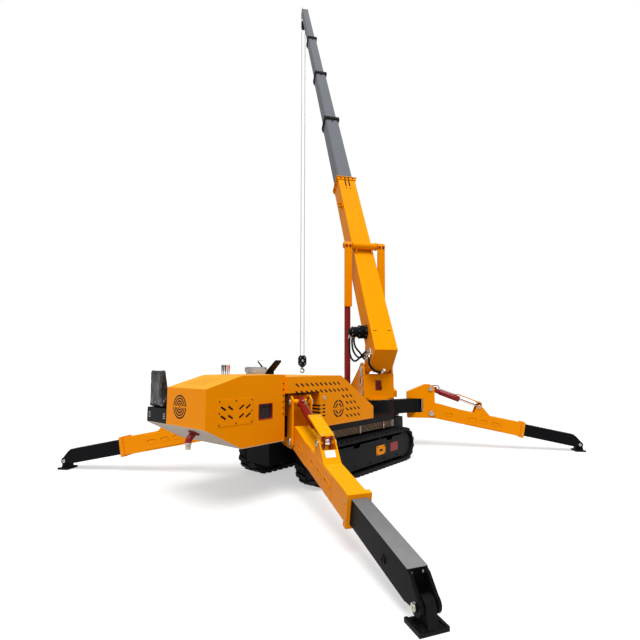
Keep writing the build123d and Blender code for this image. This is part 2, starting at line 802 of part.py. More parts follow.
boom_cos = cos(radians(boom_elevation))
boom_sin = sin(radians(boom_elevation))
yoke_reach = pivot_reach + yoke_along * boom_cos - (boom_top + yoke_rise) * boom_sin
yoke_height = pivot_height + yoke_along * boom_sin + (boom_top + yoke_rise) * boom_cos
luff_length = hypot(yoke_reach - luff_base_reach, yoke_height - luff_base_height)
luff_angle = degrees(atan2(yoke_height - luff_base_height, yoke_reach - luff_base_reach))
luff_place = slew_place * Pos(luff_base_reach, 0, luff_base_height) * Rot(0, -luff_angle, 0)


def luff_barrels():
    """The two cylinder barrels with their base eyes."""
    whole = []
    for y in (-luff_side, luff_side):
        tube = bar((0, y, 0), (luff_barrel_length, y, 0), luff_barrel_radius)
        tube += cross_bar(0, 0, y - luff_eye_half, y + luff_eye_half, luff_eye)
        tube -= cross_bar(0, 0, y - luff_side, y + luff_side, luff_pin + running_gap)
        tube -= bar((luff_bore_start, y, 0), (luff_barrel_length - luff_gland, y, 0), luff_rod_radius + luff_bore_gap)
        tube -= bar((luff_bore_start, y, 0), (luff_barrel_length, y, 0), luff_rod_radius + running_gap)
        whole.append(tube)
    return luff_place * (whole[0] + whole[1])


def luff_rods():
    """The two piston rods with their upper eyes, in line with the yoke."""
    whole = []
    for y in (-1, 1):
        rod = bar((luff_rod_start, y * luff_side, 0), (luff_length, y * luff_side, 0), luff_rod_radius)
        rod += bar((luff_rod_start, y * luff_side, 0), (luff_rod_start + 60, y * luff_side, 0),
                   luff_rod_radius + luff_bore_gap - running_gap)
        rod += cross_bar(luff_length, 0, y * (yoke_end + side_gap), y * eye_end, yoke_radius)
        whole.append(rod)
    return luff_place * (whole[0] + whole[1])


def luff_guards():
    """Folded covers that hang from the rod eyes, over the rods."""
    whole = []
    for y in (-1, 1):
        half = luff_barrel_radius + side_gap + sheet
        low = y * luff_side - half
        high = y * luff_side + half
        start = luff_length - guard_length
        rise = yoke_radius + running_gap
        cover = block(start, luff_length, low, high, rise, rise + sheet)
        for edge in (low, high - sheet):
            cover += block(start, luff_length - yoke_radius - side_gap, edge, edge + sheet, rise - guard_fold, rise)
        whole.append(cover)
    return luff_place * (whole[0] + whole[1])


# Rope and hook


rope_reach = pivot_reach + sheave_along * boom_cos - sheave_rise * boom_sin
rope_top = pivot_height + sheave_along * boom_sin + sheave_rise * boom_cos
rope_line = rope_reach + sheave_radius + rope_radius + running_gap


def hoist_rope():
    """The falls of the hoist rope, from the head sheaves to the hook block."""
    whole = []
    for y in (-fall_spread, fall_spread):
        for x in (rope_line, rope_line - fall_gap):
            top = rope_top if x == rope_line else rope_top - sheave_radius - fall_gap
            whole.append(bar((x, y, hook_block_top), (x, y, top), rope_radius))
    return slew_place * (whole[0] + whole[1:])


def hook_block():
    """Hook block: cheeks, sheaves and the hook on its swivel."""
    x = rope_line - fall_gap / 2
    top = hook_block_top
    low = top - hook_block_height
    w = hook_block_width / 2
    profile = [(-w * 0.6, top), (w * 0.6, top), (w, top - 90), (w, low + 110), (w * 0.4, low), (-w * 0.4, low),
               (-w, low + 110), (-w, top - 90)]
    plane = Plane(origin=(x + hook_block_depth / 2, 0, 0), x_dir=(0, 1, 0), z_dir=(1, 0, 0))
    whole = extrude(plane * make_face(Polyline(*profile, close=True)), amount=-hook_block_depth)
    whole += bar((x, 0, low - 70), (x, 0, low), 34)
    ring = Pos(x, 0, low - 70 - hook_ring) * Rot(0, 90, 0) * Torus(hook_ring, hook_ring * 0.36)
    gap = block(x - 60, x + 60, 0, hook_ring * 2, low - 70 - hook_ring * 1.3, low - 70 - hook_ring * 0.25)
    whole += ring - gap
    return slew_place * whole


# Outriggers, each drawn with X outwards from its swing axis


lift_along = hinge_reach + lug_along * cos(radians(arm_slope)) + lug_rise * sin(radians(arm_slope))
lift_height = hinge_height - lug_along * sin(radians(arm_slope)) + lug_rise * cos(radians(arm_slope))
lift_length = hypot(lift_along - hinge_reach, lift_pin_height - lift_height)
lift_slope = degrees(atan2(lift_pin_height - lift_height, lift_along - hinge_reach))
foot_along = hinge_reach + foot_pin_along * cos(radians(arm_slope)) + foot_pin_rise * sin(radians(arm_slope))
foot_height = hinge_height - foot_pin_along * sin(radians(arm_slope)) + foot_pin_rise * cos(radians(arm_slope))
arm_place = Pos(hinge_reach, 0, hinge_height) * Rot(0, arm_slope, 0)
cylinder_place = Pos(hinge_reach, 0, lift_pin_height) * Rot(0, lift_slope, 0)


def bracket():
    """Swing bracket: forks round the post, cheeks for the arm and its cylinder."""
    front = hinge_reach + cheek_front
    outline = [(-bracket_back, bracket_bottom), (hinge_reach, bracket_bottom), (front, hinge_height - 30),
               (front, lift_pin_height + 40), (hinge_reach, bracket_top), (hinge_reach - 110, bracket_top),
               (-bracket_back, bracket_shoulder)]
    whole = side_plate(outline, -cheek_outer, cheek_outer)
    web = post_radius + side_gap + 8
    whole -= block(-bracket_back, web, -cheek_outer, cheek_outer, post_bottom - side_gap, post_top + side_gap)
    whole -= block(web + bracket_web, front, -cheek_inner, cheek_inner, bracket_bottom, bracket_top)
    whole -= bar((0, 0, bracket_bottom), (0, 0, swing_pin_top + side_gap), swing_pin + running_gap)
    whole += cross_bar(hinge_reach, hinge_height, -cheek_outer - pin_head, cheek_outer + pin_head, hinge_pin)
    whole += cross_bar(hinge_reach, lift_pin_height, -cheek_outer - pin_head, cheek_outer + pin_head, lift_pin)
    return whole


def arm_tube(width, height, start, end):
    """A box along the arm, about the arm's centre line."""
    return block(start, end, -width / 2, width / 2, arm_rise - height / 2, arm_rise + height / 2)


def outrigger_arm():
    """Outer box with its hinge root, mouth collar and the cylinder's lug."""
    low = arm_rise - arm_height / 2
    high = arm_rise + arm_height / 2
    root = [(-root_radius * 0.7, -root_radius * 0.7), (0, low), (root_length, low), (root_length, high),
            (root_length * 0.3, arm_root_top), (root_length * 0.08, arm_root_top), (-root_radius, root_radius * 0.4)]
    whole = side_plate(root, -root_width / 2, root_width / 2)
    whole += arm_tube(arm_width, arm_height, root_length - 1, arm_length)
    whole += arm_tube(inner_width + 2 * running_gap + 2 * arm_collar_wall + 35, arm_height + 2 * arm_collar_wall,
                      arm_length - arm_collar_length, arm_length)
    whole -= arm_tube(arm_width - 2 * arm_wall, arm_height - 2 * arm_wall, root_radius + 40, arm_length - arm_collar_length)
    whole -= arm_tube(inner_width + 2 * running_gap, inner_height + 2 * running_gap, arm_length - arm_collar_length - 1,
                      arm_length)
    whole -= cross_bar(0, 0, -root_width, root_width, hinge_pin + running_gap)
    lug = [(lug_along - 80, high), (lug_along - 48, lug_rise + 20), (lug_along - 20, lug_rise + 42),
           (lug_along + 20, lug_rise + 42), (lug_along + 48, lug_rise + 20), (lug_along + lug_slope_length, high)]
    start = tuple(near + (far - near) * lug_slope_start for near, far in zip(lug[4], lug[5]))
    sunk = high - arm_wall / 2
    slope = [start, lug[5], (lug[5][0], sunk), (lug[5][0] - 2 * lug_thickness, sunk),
             (start[0] - lug_thickness, start[1] - lug_thickness)]
    inside = arm_width / 2 - lug_thickness
    plates = [side_plate(slope, -inside, inside)]
    for y in (-1, 1):
        plates += [side_plate(lug, *sorted((y * arm_width / 2, y * inside))), arm_doubler(y)]
        pocket = Plane(origin=(root_boss_along, y * root_width / 2, arm_rise), x_dir=(1, 0, 0), z_dir=(0, y, 0))
        whole -= extrude(pocket * SlotOverall(boss_length, boss_height), amount=-doubler_thickness)
    whole += plates
    return arm_place * whole


def arm_doubler(side):
    """Plate on one side of the arm, with three slotted openings."""
    middle = (doubler_start + doubler_end) / 2
    face = Rectangle(doubler_end - doubler_start, arm_height - 2 * arm_collar_wall)
    for index in (-1, 0, 1):
        face -= Pos(index * boss_pitch, 0) * SlotOverall(boss_length, boss_height)
    plane = Plane(origin=(middle, side * arm_width / 2, arm_rise), x_dir=(1, 0, 0), z_dir=(0, side, 0))
    return extrude(plane * face, amount=doubler_thickness)


def outrigger_inner():
    """Inner box with slide pads at its tail and the foot's ear at its end."""
    whole = arm_tube(inner_width, inner_height, inner_tail, inner_end)
    whole -= arm_tube(inner_width - 2 * inner_wall, inner_height - 2 * inner_wall, inner_tail, inner_end - inner_wall)
    pad = arm_tube(arm_width - 2 * arm_wall - 2 * running_gap, arm_height - 2 * arm_wall - 2 * running_gap,
                   inner_tail, inner_tail + tail_pad_length)
    whole += pad - arm_tube(inner_width - inner_wall, inner_height - inner_wall, inner_tail, inner_tail + tail_pad_length)
    top = arm_rise + inner_height / 2
    half = inner_width / 2
    for y in (-1, 1):
        cheek = [(inner_end, top - 12), (inner_end + 30, top - 20), (foot_pin_along + foot_boss, foot_pin_rise + 20),
                 (foot_pin_along, foot_pin_rise), (foot_pin_along - foot_boss, foot_pin_rise - 40),
                 (inner_end, arm_rise - inner_height / 2 + 4)]
        sides = sorted((y * half, y * (half - foot_cheek)))
        whole += side_plate(cheek, *sides)
        whole += cross_bar(foot_pin_along, foot_pin_rise, *sides, foot_boss)
    whole += cross_bar(foot_pin_along, foot_pin_rise, -half - pin_head, half + pin_head, foot_pin)
    return arm_place * whole


def outrigger_foot():
    """Foot plate with the lug that hangs on the arm's pin."""
    whole = block(foot_along - foot_length / 2, foot_along + foot_length / 2, -foot_width / 2, foot_width / 2, 0, foot_plate)
    lug = [(foot_along - foot_boss * 1.3, foot_plate), (foot_along + foot_boss * 1.3, foot_plate),
           (foot_along + foot_boss, foot_height), (foot_along - foot_boss, foot_height)]
    whole += side_plate(lug, -foot_lug / 2, foot_lug / 2)
    whole += cross_bar(foot_along, foot_height, -foot_lug / 2, foot_lug / 2, foot_boss)
    whole -= cross_bar(foot_along, foot_height, -foot_lug, foot_lug, foot_pin + running_gap)
    for y in (-1, 1):
        rib = sorted((y * foot_width / 2, y * (foot_width / 2 - foot_cheek)))
        whole += block(foot_along - foot_length / 2, foot_along + foot_length / 2, *rib, foot_plate, foot_plate + 8)
    return whole


def lift_barrel():
    """Barrel of the outrigger's lift cylinder, hung on the bracket's upper pin."""
    whole = bar((0, 0, 0), (cylinder_length, 0, 0), cylinder_radius)
    whole += cross_bar(0, 0, -barrel_eye_half, barrel_eye_half, lift_pin + 26)
    whole -= cross_bar(0, 0, -cheek_inner, cheek_inner, lift_pin + running_gap)
    whole -= bar((lift_pin + 45, 0, 0), (cylinder_length - 30, 0, 0), cylinder_radius - cylinder_wall)
    whole -= bar((cylinder_length - 31, 0, 0), (cylinder_length, 0, 0), cylinder_rod + running_gap)
    return cylinder_place * whole


def lift_rod():
    """Piston rod with its eye, which stands between the arm's lugs."""
    whole = bar((piston_start, 0, 0), (lift_length, 0, 0), cylinder_rod)
    whole += bar((piston_start, 0, 0), (piston_start + 40, 0, 0), cylinder_radius - cylinder_wall - running_gap)
    whole += cross_bar(lift_length, 0, -rod_eye_half, rod_eye_half, rod_eye)
    whole += block(lift_length - rod_eye_half, lift_length + rod_eye_half, -rod_eye_half, rod_eye_half, 0, rod_eye + 15)
    return cylinder_place * whole


def rod_guard():
    """Folded cover over the piston rod, on a post from the rod's eye."""
    start = lift_length - rod_guard_length
    end = lift_length + rod_eye_half
    whole = block(start, end, -rod_guard_half, rod_guard_half, rod_guard_rise, rod_guard_rise + sheet)
    whole += block(lift_length - rod_eye_half, end, -rod_eye_half, rod_eye_half, rod_eye + 15, rod_guard_rise)
    for y in (-rod_guard_half, rod_guard_half - sheet):
        whole += block(start, end, y, y + sheet, rod_guard_rise - 16, rod_guard_rise)
    return cylinder_place * whole


corners = {
    "front_right": (front_post_x, -front_post_y, -front_azimuth),
    "front_left": (front_post_x, front_post_y, front_azimuth),
    "rear_right": (rear_post_x, -rear_post_y, -rear_azimuth),
    "rear_left": (rear_post_x, rear_post_y, rear_azimuth),
}
outrigger_pieces = {
    "bracket": bracket(),
    "arm": outrigger_arm(),
    "inner": outrigger_inner(),
    "foot": outrigger_foot(),
    "barrel": lift_barrel(),
    "rod": lift_rod(),
    "guard": rod_guard(),
}

save("chassis_frame", chassis_frame())
for side, sign in (("left", 1), ("right", -1)):
    save("track_" + side, track_belt(sign))
    save("track_frame_" + side, track_frame(sign))
save("deck_pipes", deck_pipes())
save("cabinet", cabinet())
save("cabinet_floor", cabinet_floor())
save("seat_base", seat_base())
save("seat", seat())
save("controls", controls())
save("hood", hood_part(hood_notch_front, hood_nose))
save("hood_rear", hood_part(cabinet_front, hood_notch_front))
save("top_box", top_box())
save("engine", engine())
save("exhaust_stub", exhaust_stub())
save("turret", turret())
save("boom_base", boom_base())
save("winch", winch())
for number in range(1, len(section_widths)):
    save("boom_section_%d" % (number + 1), boom_place * boom_section(number))
save("boom_head", boom_head())
save("luff_barrels", luff_barrels())
save("luff_rods", luff_rods())
save("luff_guards", luff_guards())
save("hoist_rope", hoist_rope())
save("hook_block", hook_block())
for corner, (post_x, post_y, azimuth) in corners.items():
    place = Pos(post_x, post_y, 0) * Rot(0, 0, azimuth)
    for piece, shape in outrigger_pieces.items():
        save(corner + "_" + piece, place * shape)
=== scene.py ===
import json
from math import asin, cos, pi, radians, sin

import bmesh
import bpy
from mathutils import Matrix, Vector


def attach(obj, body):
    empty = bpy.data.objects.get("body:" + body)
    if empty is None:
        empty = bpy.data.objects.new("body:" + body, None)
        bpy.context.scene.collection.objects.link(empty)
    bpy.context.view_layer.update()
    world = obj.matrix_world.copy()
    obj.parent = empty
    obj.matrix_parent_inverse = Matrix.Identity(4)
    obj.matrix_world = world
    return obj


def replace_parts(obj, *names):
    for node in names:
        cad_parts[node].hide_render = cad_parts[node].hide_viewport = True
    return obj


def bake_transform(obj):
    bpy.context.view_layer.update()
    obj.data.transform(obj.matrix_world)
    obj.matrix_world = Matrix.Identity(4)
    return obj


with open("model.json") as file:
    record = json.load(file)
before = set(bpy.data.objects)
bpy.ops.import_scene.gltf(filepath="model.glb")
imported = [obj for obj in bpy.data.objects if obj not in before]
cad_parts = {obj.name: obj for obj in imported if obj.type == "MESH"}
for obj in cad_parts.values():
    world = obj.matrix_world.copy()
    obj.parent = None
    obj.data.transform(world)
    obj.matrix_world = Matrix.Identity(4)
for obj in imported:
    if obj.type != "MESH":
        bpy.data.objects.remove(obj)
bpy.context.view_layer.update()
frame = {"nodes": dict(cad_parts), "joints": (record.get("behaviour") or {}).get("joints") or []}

joints = {joint["name"]: joint for joint in frame["joints"]}
corners = ("front_right", "front_left", "rear_right", "rear_left")


# Shader maths


class Value:
    """A socket of a finish. Arithmetic on it adds Math nodes."""

    def __init__(self, finish, socket):
        self.finish = finish
        self.socket = socket

    def maths(self, operation, first, second=0.0):
        return self.finish.add("ShaderNodeMath", {"operation": operation}, {0: first, 1: second})

    def __add__(self, other):
        return self.maths("ADD", self, other)

    def __radd__(self, other):
        return self.maths("ADD", other, self)

    def __sub__(self, other):
        return self.maths("SUBTRACT", self, other)

    def __rsub__(self, other):
        return self.maths("SUBTRACT", other, self)

    def __mul__(self, other):
        return self.maths("MULTIPLY", self, other)

    def __rmul__(self, other):
        return self.maths("MULTIPLY", other, self)

    def __gt__(self, other):
        return self.maths("GREATER_THAN", self, other)

    def __lt__(self, other):
        return self.maths("LESS_THAN", self, other)

    def clipped(self):
        return self.finish.add("ShaderNodeClamp", {}, {0: self})


class Finish:
    """A procedural material that ends in one Principled shader."""

    def __init__(self, name, **fixed):
        self.material = bpy.data.materials.new(name)
        self.material.use_nodes = True
        self.tree = self.material.node_tree
        self.shader = self.tree.nodes["Principled BSDF"]
        for socket, value in fixed.items():
            self.shader.inputs[socket.replace("_", " ")].default_value = value
        self.place = self.add("ShaderNodeTexCoord", {}, {}, "Object")

    def add(self, kind, settings, sockets, output=0):
        """One node: its settings first, then the values or links of its sockets."""
        node = self.tree.nodes.new(kind)
        for name, value in settings.items():
            setattr(node, name, value)
        for key, value in sockets.items():
            if isinstance(value, Value):
                self.tree.links.new(value.socket, node.inputs[key])
            else:
                node.inputs[key].default_value = value
        return Value(self, node.outputs[output])

    def feed(self, **links):
        for name, value in links.items():
            self.tree.links.new(value.socket, self.shader.inputs[name.replace("_", " ")])
        return self

    def noise(self, scale, detail=2.0, roughness=0.5, at=None):
        sockets = {"Vector": at or self.place, "Scale": scale, "Detail": detail, "Roughness": roughness}
        return self.add("ShaderNodeTexNoise", {}, sockets, "Fac")

    def stretched(self, x, y, z):
        """The place on the part, with each axis scaled."""
        return self.add("ShaderNodeVectorMath", {"operation": "MULTIPLY"}, {0: self.place, 1: (x, y, z)})

    def along(self, direction):
        """Distance along a direction."""
        settings = {"operation": "DOT_PRODUCT"}
        return self.add("ShaderNodeVectorMath", settings, {0: self.place, 1: tuple(direction)}, "Value")

    def mix(self, first, second, factor):
        settings = {"data_type": "RGBA", "clamp_factor": True}
        return self.add("ShaderNodeMix", settings, {0: factor, 6: first, 7: second}, 2)

    def spread(self, value, low, high):
        """A value moved from low..high to 0..1."""
        return self.add("ShaderNodeMapRange", {}, {"Value": value, "From Min": low, "From Max": high})

    def rounded(self, radius):
        """The surface's direction with its edges rounded off."""
        return self.add("ShaderNodeBevel", {"samples": 4}, {"Radius": radius}, "Normal")

    def edges(self, soft):
        """How near the surface is to an edge, from 0 to 1."""
        flat = self.add("ShaderNodeNewGeometry", {}, {}, "Normal")
        match = self.add("ShaderNodeVectorMath", {"operation": "DOT_PRODUCT"}, {0: flat, 1: soft}, "Value")
        return ((1 - match) * edge_gain).clipped()

    def upwards(self, low=0.25, high=0.9):
        """How far a face looks up, from 0 to 1."""
        normal = self.add("ShaderNodeTexCoord", {}, {}, "Normal")
        return self.spread(self.add("ShaderNodeSeparateXYZ", {}, {0: normal}, "Z"), low, high)

    def bump(self, height, distance, strength=1.0, normal=None):
        sockets = {"Height": height, "Distance": distance, "Strength": strength}
        if normal:
            sockets["Normal"] = normal
        return self.add("ShaderNodeBump", {}, sockets, "Normal")


def shade(colour, by=1.0):
    """A colour made lighter or darker, with its opacity."""
    return tuple(min(1.0, channel * by) for channel in colour) + (1.0,)


# Finishes

upwards = (0.0, 0.0, 1.0)
edge_radius = 0.005
edge_gain = 6.0
yellow = (0.80, 0.248, 0.0)
black = (0.0035, 0.0035, 0.0046)
boom_grey = (0.118, 0.126, 0.142)
dark_red = (0.22, 0.006, 0.008)
primer = (0.52, 0.43, 0.35)
brass = (0.23, 0.20, 0.075)
chrome = (0.80, 0.80, 0.81)
white = (1.0, 1.0, 1.0)
# Painted light: upward faces of the yellow paint turn this lighter yellow.
lit_top_yellow = (0.80, 0.33, 0.0)
yellow_shine = (1.0, 0.55, 0.05)
dust_colour = (0.30, 0.25, 0.20)
scuff_colour = (0.060, 0.058, 0.055)
cover_colour = (0.012, 0.012, 0.013)
# Painted highlights on the seat's clear plastic wrap: their colour, and the heights over which more of them show low
# down.
film_highlight_colour = (0.075, 0.075, 0.075)
film_highlight_heights = (1.25, 1.12)
# Grey on the inner boxes' upper faces: partly rubbing wear, partly a painted sheen.
rubbed_sheen_dull = (0.26, 0.26, 0.265, 1.0)
rubbed_sheen_bright = (0.34, 0.34, 0.345, 1.0)
rope_dark = (0.16, 0.16, 0.165)
rope_bright = (0.62, 0.62, 0.63)
slide_start = 2.6
slide_end = 6.2


def paint(name, colour, roughness=0.40, coat=0.03, edge_wear_and_highlight=1.12, dust=0.06, shine=0.25, tint=white, upper=None):
    """Sprayed paint: slight shade changes, orange peel, lighter edges (partly wear, partly a painted highlight),
    painted light on upward faces and dust low down.
    """
    finish = Finish(name, Coat_Roughness=0.12, Specular_IOR_Level=shine, Specular_Tint=shade(tint))
    soft = finish.rounded(edge_radius)
    edge = finish.edges(soft)
    broad = finish.noise(1.7, 4.0)
    fine = finish.noise(38.0, 5.0, 0.65)
    body = finish.mix(shade(colour, 0.90), shade(colour, 1.08), broad * 0.7 + fine * 0.3)
    # Lighter edges: partly wear, partly a painted highlight.
    body = finish.mix(body, shade(colour, edge_wear_and_highlight), edge * 0.55)
    # Painted light: faces that look up take a lighter colour.
    if upper:
        body = finish.mix(body, shade(upper), finish.upwards())
    height = finish.add("ShaderNodeSeparateXYZ", {}, {0: finish.place}, "Z")
    settled = finish.spread(height, 1.0, 0.0) * dust * finish.spread(fine, 0.35, 0.75)
    body = finish.mix(body, shade(dust_colour), settled)
    finish.feed(
        Base_Color=body,
        Roughness=(roughness + (fine - 0.5) * 0.18 + settled * 0.8 + edge * 0.05).clipped(),
        Coat_Weight=(coat - settled).clipped(),
        Normal=finish.bump(finish.noise(420.0), 0.00012, 0.6, soft),
    )
    return finish


def metal(name, colour, roughness, scale=(60.0, 60.0, 60.0), depth=0.00006):
    """Bare or plated metal with fine marks."""
    finish = Finish(name, Specular_IOR_Level=0.5)
    soft = finish.rounded(edge_radius * 0.5)
    marks = finish.noise(9.0, 6.0, 0.7, finish.stretched(*scale))
    stain = finish.noise(6.0, 3.0)
    finish.shader.inputs["Metallic"].default_value = 1.0
    finish.feed(
        Base_Color=finish.mix(shade(colour, 0.78), shade(colour, 1.12), marks * 0.6 + stain * 0.4),
        Roughness=(roughness + (marks - 0.5) * 0.22 + (stain - 0.5) * 0.12).clipped(),
        Normal=finish.bump(marks, depth, 0.5, soft),
    )
    return finish


def rubber(name, colour=(0.0045, 0.0045, 0.0055), dust=0.16):
    """Moulded rubber, greyer where it scuffs."""
    finish = Finish(name, Specular_IOR_Level=0.12)
    soft = finish.rounded(edge_radius)
    edge = finish.edges(soft)
    grain = finish.noise(160.0, 3.0)
    patch = finish.noise(5.0, 5.0, 0.6)
    scuff = (edge * 0.5 + finish.spread(patch, 0.5, 0.85) * 0.6).clipped() * dust
    finish.feed(
        Base_Color=finish.mix(shade(colour), shade(scuff_colour), scuff),
        Roughness=(0.62 + (grain - 0.5) * 0.2 + scuff * 0.3).clipped(),
        Normal=finish.bump(grain, 0.0006, 0.5, soft),
    )
    return finish


def plastic(name, colour, roughness=0.45):
    """Moulded plastic with a fine grain."""
    finish = Finish(name, Specular_IOR_Level=0.3)
    grain = finish.noise(700.0, 2.0)
    patch = finish.noise(20.0, 3.0)
    finish.feed(
        Base_Color=finish.mix(shade(colour, 0.85), shade(colour, 1.2), patch),
        Roughness=(roughness + (patch - 0.5) * 0.2).clipped(),
        Normal=finish.bump(grain, 0.0002, 0.5),
    )
    return finish


def vinyl(name):
    """Black seat cover under a clear plastic wrap that wrinkles; its folds, more of them low down, are painted
    lighter as painted highlights on the wrap.
    """
    finish = Finish(name, Specular_IOR_Level=0.4, Coat_Roughness=0.18)
    grain = finish.noise(260.0, 3.0)
    folds = finish.noise(16.0, 4.0, 0.6, finish.stretched(1.0, 1.8, 0.6))
    low = finish.spread(finish.along(upwards), *film_highlight_heights)
    # Painted highlights: the wrap's folds, more of them low down, are lighter.
    film_highlight = (finish.spread(folds, 0.48, 0.70) + low * finish.spread(folds, 0.40, 0.55)).clipped()
    finish.feed(
        Base_Color=finish.mix(shade(cover_colour), shade(film_highlight_colour), film_highlight * 0.8),
        Roughness=(0.42 - film_highlight * 0.16 + (grain - 0.5) * 0.15).clipped(),
        Coat_Weight=(film_highlight * 0.5).clipped(),
        Normal=finish.bump(folds * 0.85 + grain * 0.15, 0.006, 0.6),
    )
    return finish


def slide_paint(name):
    """Black paint, lighter grey on the upper face, more so towards the outer end: partly rubbing wear, partly a
    painted sheen.
    """
    finish = paint(name, black, 0.44, 0.0, edge_wear_and_highlight=2.0, dust=0.01, shine=0.05)
    level = finish.stretched(1.0, 1.0, 0.0)
    reach = finish.add("ShaderNodeVectorMath", {"operation": "LENGTH"}, {0: level}, "Value")
    # Painted sheen, with rubbing wear: upper faces turn grey towards the outer end.
    rubbed_and_sheen = finish.upwards(0.90, 0.96) * finish.spread(reach, slide_start, slide_end)
    dark = Value(finish, finish.shader.inputs["Base Color"].links[0].from_socket)
    bright = finish.mix(rubbed_sheen_dull, rubbed_sheen_bright, finish.noise(14.0, 4.0))
    return finish.feed(Base_Color=finish.mix(dark, bright, rubbed_and_sheen))


def beyond(finish, direction, limit, colour):
    """The finish with another colour beyond a plane across a direction."""
    far_side = finish.along(direction) > limit
    near_colour = Value(finish, finish.shader.inputs["Base Color"].links[0].from_socket)
    finish.feed(Base_Color=finish.mix(near_colour, shade(colour), far_side))
    if finish.shader.inputs["Metallic"].default_value == 1.0:
        finish.feed(Metallic=1 - far_side)
    return finish


def wire_rope(name):
    """Steel rope with its strands laid round it."""
    finish = Finish(name, Metallic=0.9)
    twist = finish.add("ShaderNodeTexWave", {"wave_type": "BANDS", "bands_direction": "DIAGONAL"},
                       {"Vector": finish.stretched(1.0, 1.0, 0.55), "Scale": 26.0, "Distortion": 0.3}, "Fac")
    grey = finish.noise(3.0, 4.0)
    finish.feed(
        Base_Color=finish.mix(shade(rope_dark), shade(rope_bright), twist * 0.75 + grey * 0.25),
        Roughness=(0.36 + grey * 0.25).clipped(),
        Normal=finish.bump(twist, 0.002, 0.8),
    )
    return finish


finishes = {
    "yellow": paint("yellow_paint", yellow, coat=0.0, shine=0.09, tint=yellow_shine, upper=lit_top_yellow),
    "black": paint("black_paint", black, 0.46, 0.01, edge_wear_and_highlight=2.2, dust=0.02, shine=0.08),
    "red": paint("dark_red_paint", dark_red, 0.32, 0.08, dust=0.01, shine=0.2),
    "primer": paint("primer_panel", primer, 0.55, 0.0, dust=0.2),
    "white": paint("white_plate", (0.78, 0.78, 0.77), 0.35, 0.1),
    "pipe": metal("drawn_pipe", (0.27, 0.19, 0.13), 0.30, (2.0, 60.0, 60.0)),
    "rod": metal("chromed_rod", chrome, 0.10, (30.0, 30.0, 120.0), 0.00002),
    "silver": metal("silver_metal", (0.62, 0.63, 0.65), 0.32),
    "zinc": metal("zinc_plate", (0.50, 0.47, 0.40), 0.36),
    "iron": metal("engine_iron", (0.16, 0.16, 0.16), 0.6),
    "rope": wire_rope("wire_rope"),
    "slide": slide_paint("slide_paint"),
    "rubber": rubber("track_rubber"),
    "hose": rubber("hose_rubber", (0.007, 0.007, 0.0075), 0.12),
    "plastic": plastic("black_plastic", (0.011, 0.011, 0.012)),
    "vinyl": vinyl("seat_vinyl"),
    "yellow_plastic": plastic("yellow_plastic", (0.70, 0.36, 0.02)),
    "red_plastic": plastic("red_plastic", (0.45, 0.02, 0.015)),
}
node_finishes = {
    "chassis_frame": "black", "track_left": "rubber", "track_right": "rubber", "track_frame_left": "black",
    "track_frame_right": "black", "deck_pipes": "pipe", "cabinet": "yellow", "cabinet_floor": "primer",
    "seat_base": "black", "seat": "vinyl", "controls": "black", "hood": "yellow", "hood_rear": "yellow",
    "top_box": "silver", "engine": "iron", "turret": "yellow", "boom_base": "yellow", "winch": "black",
    "boom_head": "silver", "luff_barrels": "red", "luff_guards": "yellow", "hoist_rope": "rope",
}
for corner in corners:
    for piece, finish in (("bracket", "yellow"), ("arm", "yellow"), ("inner", "slide"), ("foot", "black"),
                          ("barrel", "red"), ("rod", "rod"), ("guard", "yellow")):
        node_finishes[corner + "_" + piece] = finish


# Two-coloured nodes change colour at these distances: from a mouth or an eye, or above the floor.
collar_length = 0.09
eye_length = 0.16
stub_joint = 0.775
hook_swivel = 1.535


def furthest(node, direction):
    """How far a node reaches in a direction."""
    return max(vertex.co.dot(direction) for vertex in frame["nodes"][node].data.vertices)


def dress(node, finish):
    """Give a node its finish."""
    materials = frame["nodes"][node].data.materials
    materials.clear()
    materials.append(finish.material)


for node, finish in node_finishes.items():
    dress(node, finishes[finish])
boom_axis = Vector(joints["telescope_2"]["axis"])
for number in (2, 3, 4, 5):
    node = "boom_section_%d" % number
    collar_start = furthest(node, boom_axis) - collar_length
    dress(node, beyond(paint("grey_section_%d" % number, boom_grey), boom_axis, collar_start, black))
luff_axis = Vector(joints["luff_rod_slide"]["axis"])
eye_start = furthest("luff_rods", luff_axis) - eye_length
dress("luff_rods", beyond(metal("luff_rod", chrome, 0.12), luff_axis, eye_start, yellow))
dress("exhaust_stub", beyond(paint("stub_paint", primer), upwards, stub_joint, dark_red))
dress("hook_block", beyond(paint("hook_paint", brass), upwards, hook_swivel, black))


# Places on the machine, taken from its joints


def turned_frame(origin, along, side):
    """A frame with X along a direction, Y against a joint's axis and Z upwards from them."""
    x = Vector(along).normalized()
    y = -Vector(side).normalized()
    turn = Matrix((x, y, x.cross(y))).transposed().to_4x4()
    return Matrix.Translation(Vector(origin)) @ turn


def level_frame(origin, side):
    """A level frame with Y against a joint's axis."""
    return turned_frame(origin, (-Vector(side)).cross(Vector(upwards)), side)


def measured(node, place, test=None):
    """The points of a node in a frame of its own, or those that pass a test."""
    back = place.inverted()
    points = [back @ vertex.co for vertex in frame["nodes"][node].data.vertices]
    return [point for point in points if test(point)] if test else points


def extent(node, place):
    """The lowest and highest corner of a node in a frame of its own."""
    points = measured(node, place)
    low = Vector([min(point[axis] for point in points) for axis in range(3)])
    high = Vector([max(point[axis] for point in points) for axis in range(3)])
    return low, high


def facing(place, at, outwards, across=(1.0, 0.0, 0.0)):
    """A frame at a point of another one, with Z outwards and X across."""
    z = Vector(outwards).normalized()
    x = (Vector(across) - z * z.dot(Vector(across))).normalized()
    turn = Matrix((x, z.cross(x), z)).transposed().to_4x4()
    return place @ Matrix.Translation(Vector(at)) @ turn


def flank(place, side, x, y, z):
    """A frame on a flank of another one, with X along it and Z outwards."""
    return facing(place, (x, y, z), (0, side, 0))


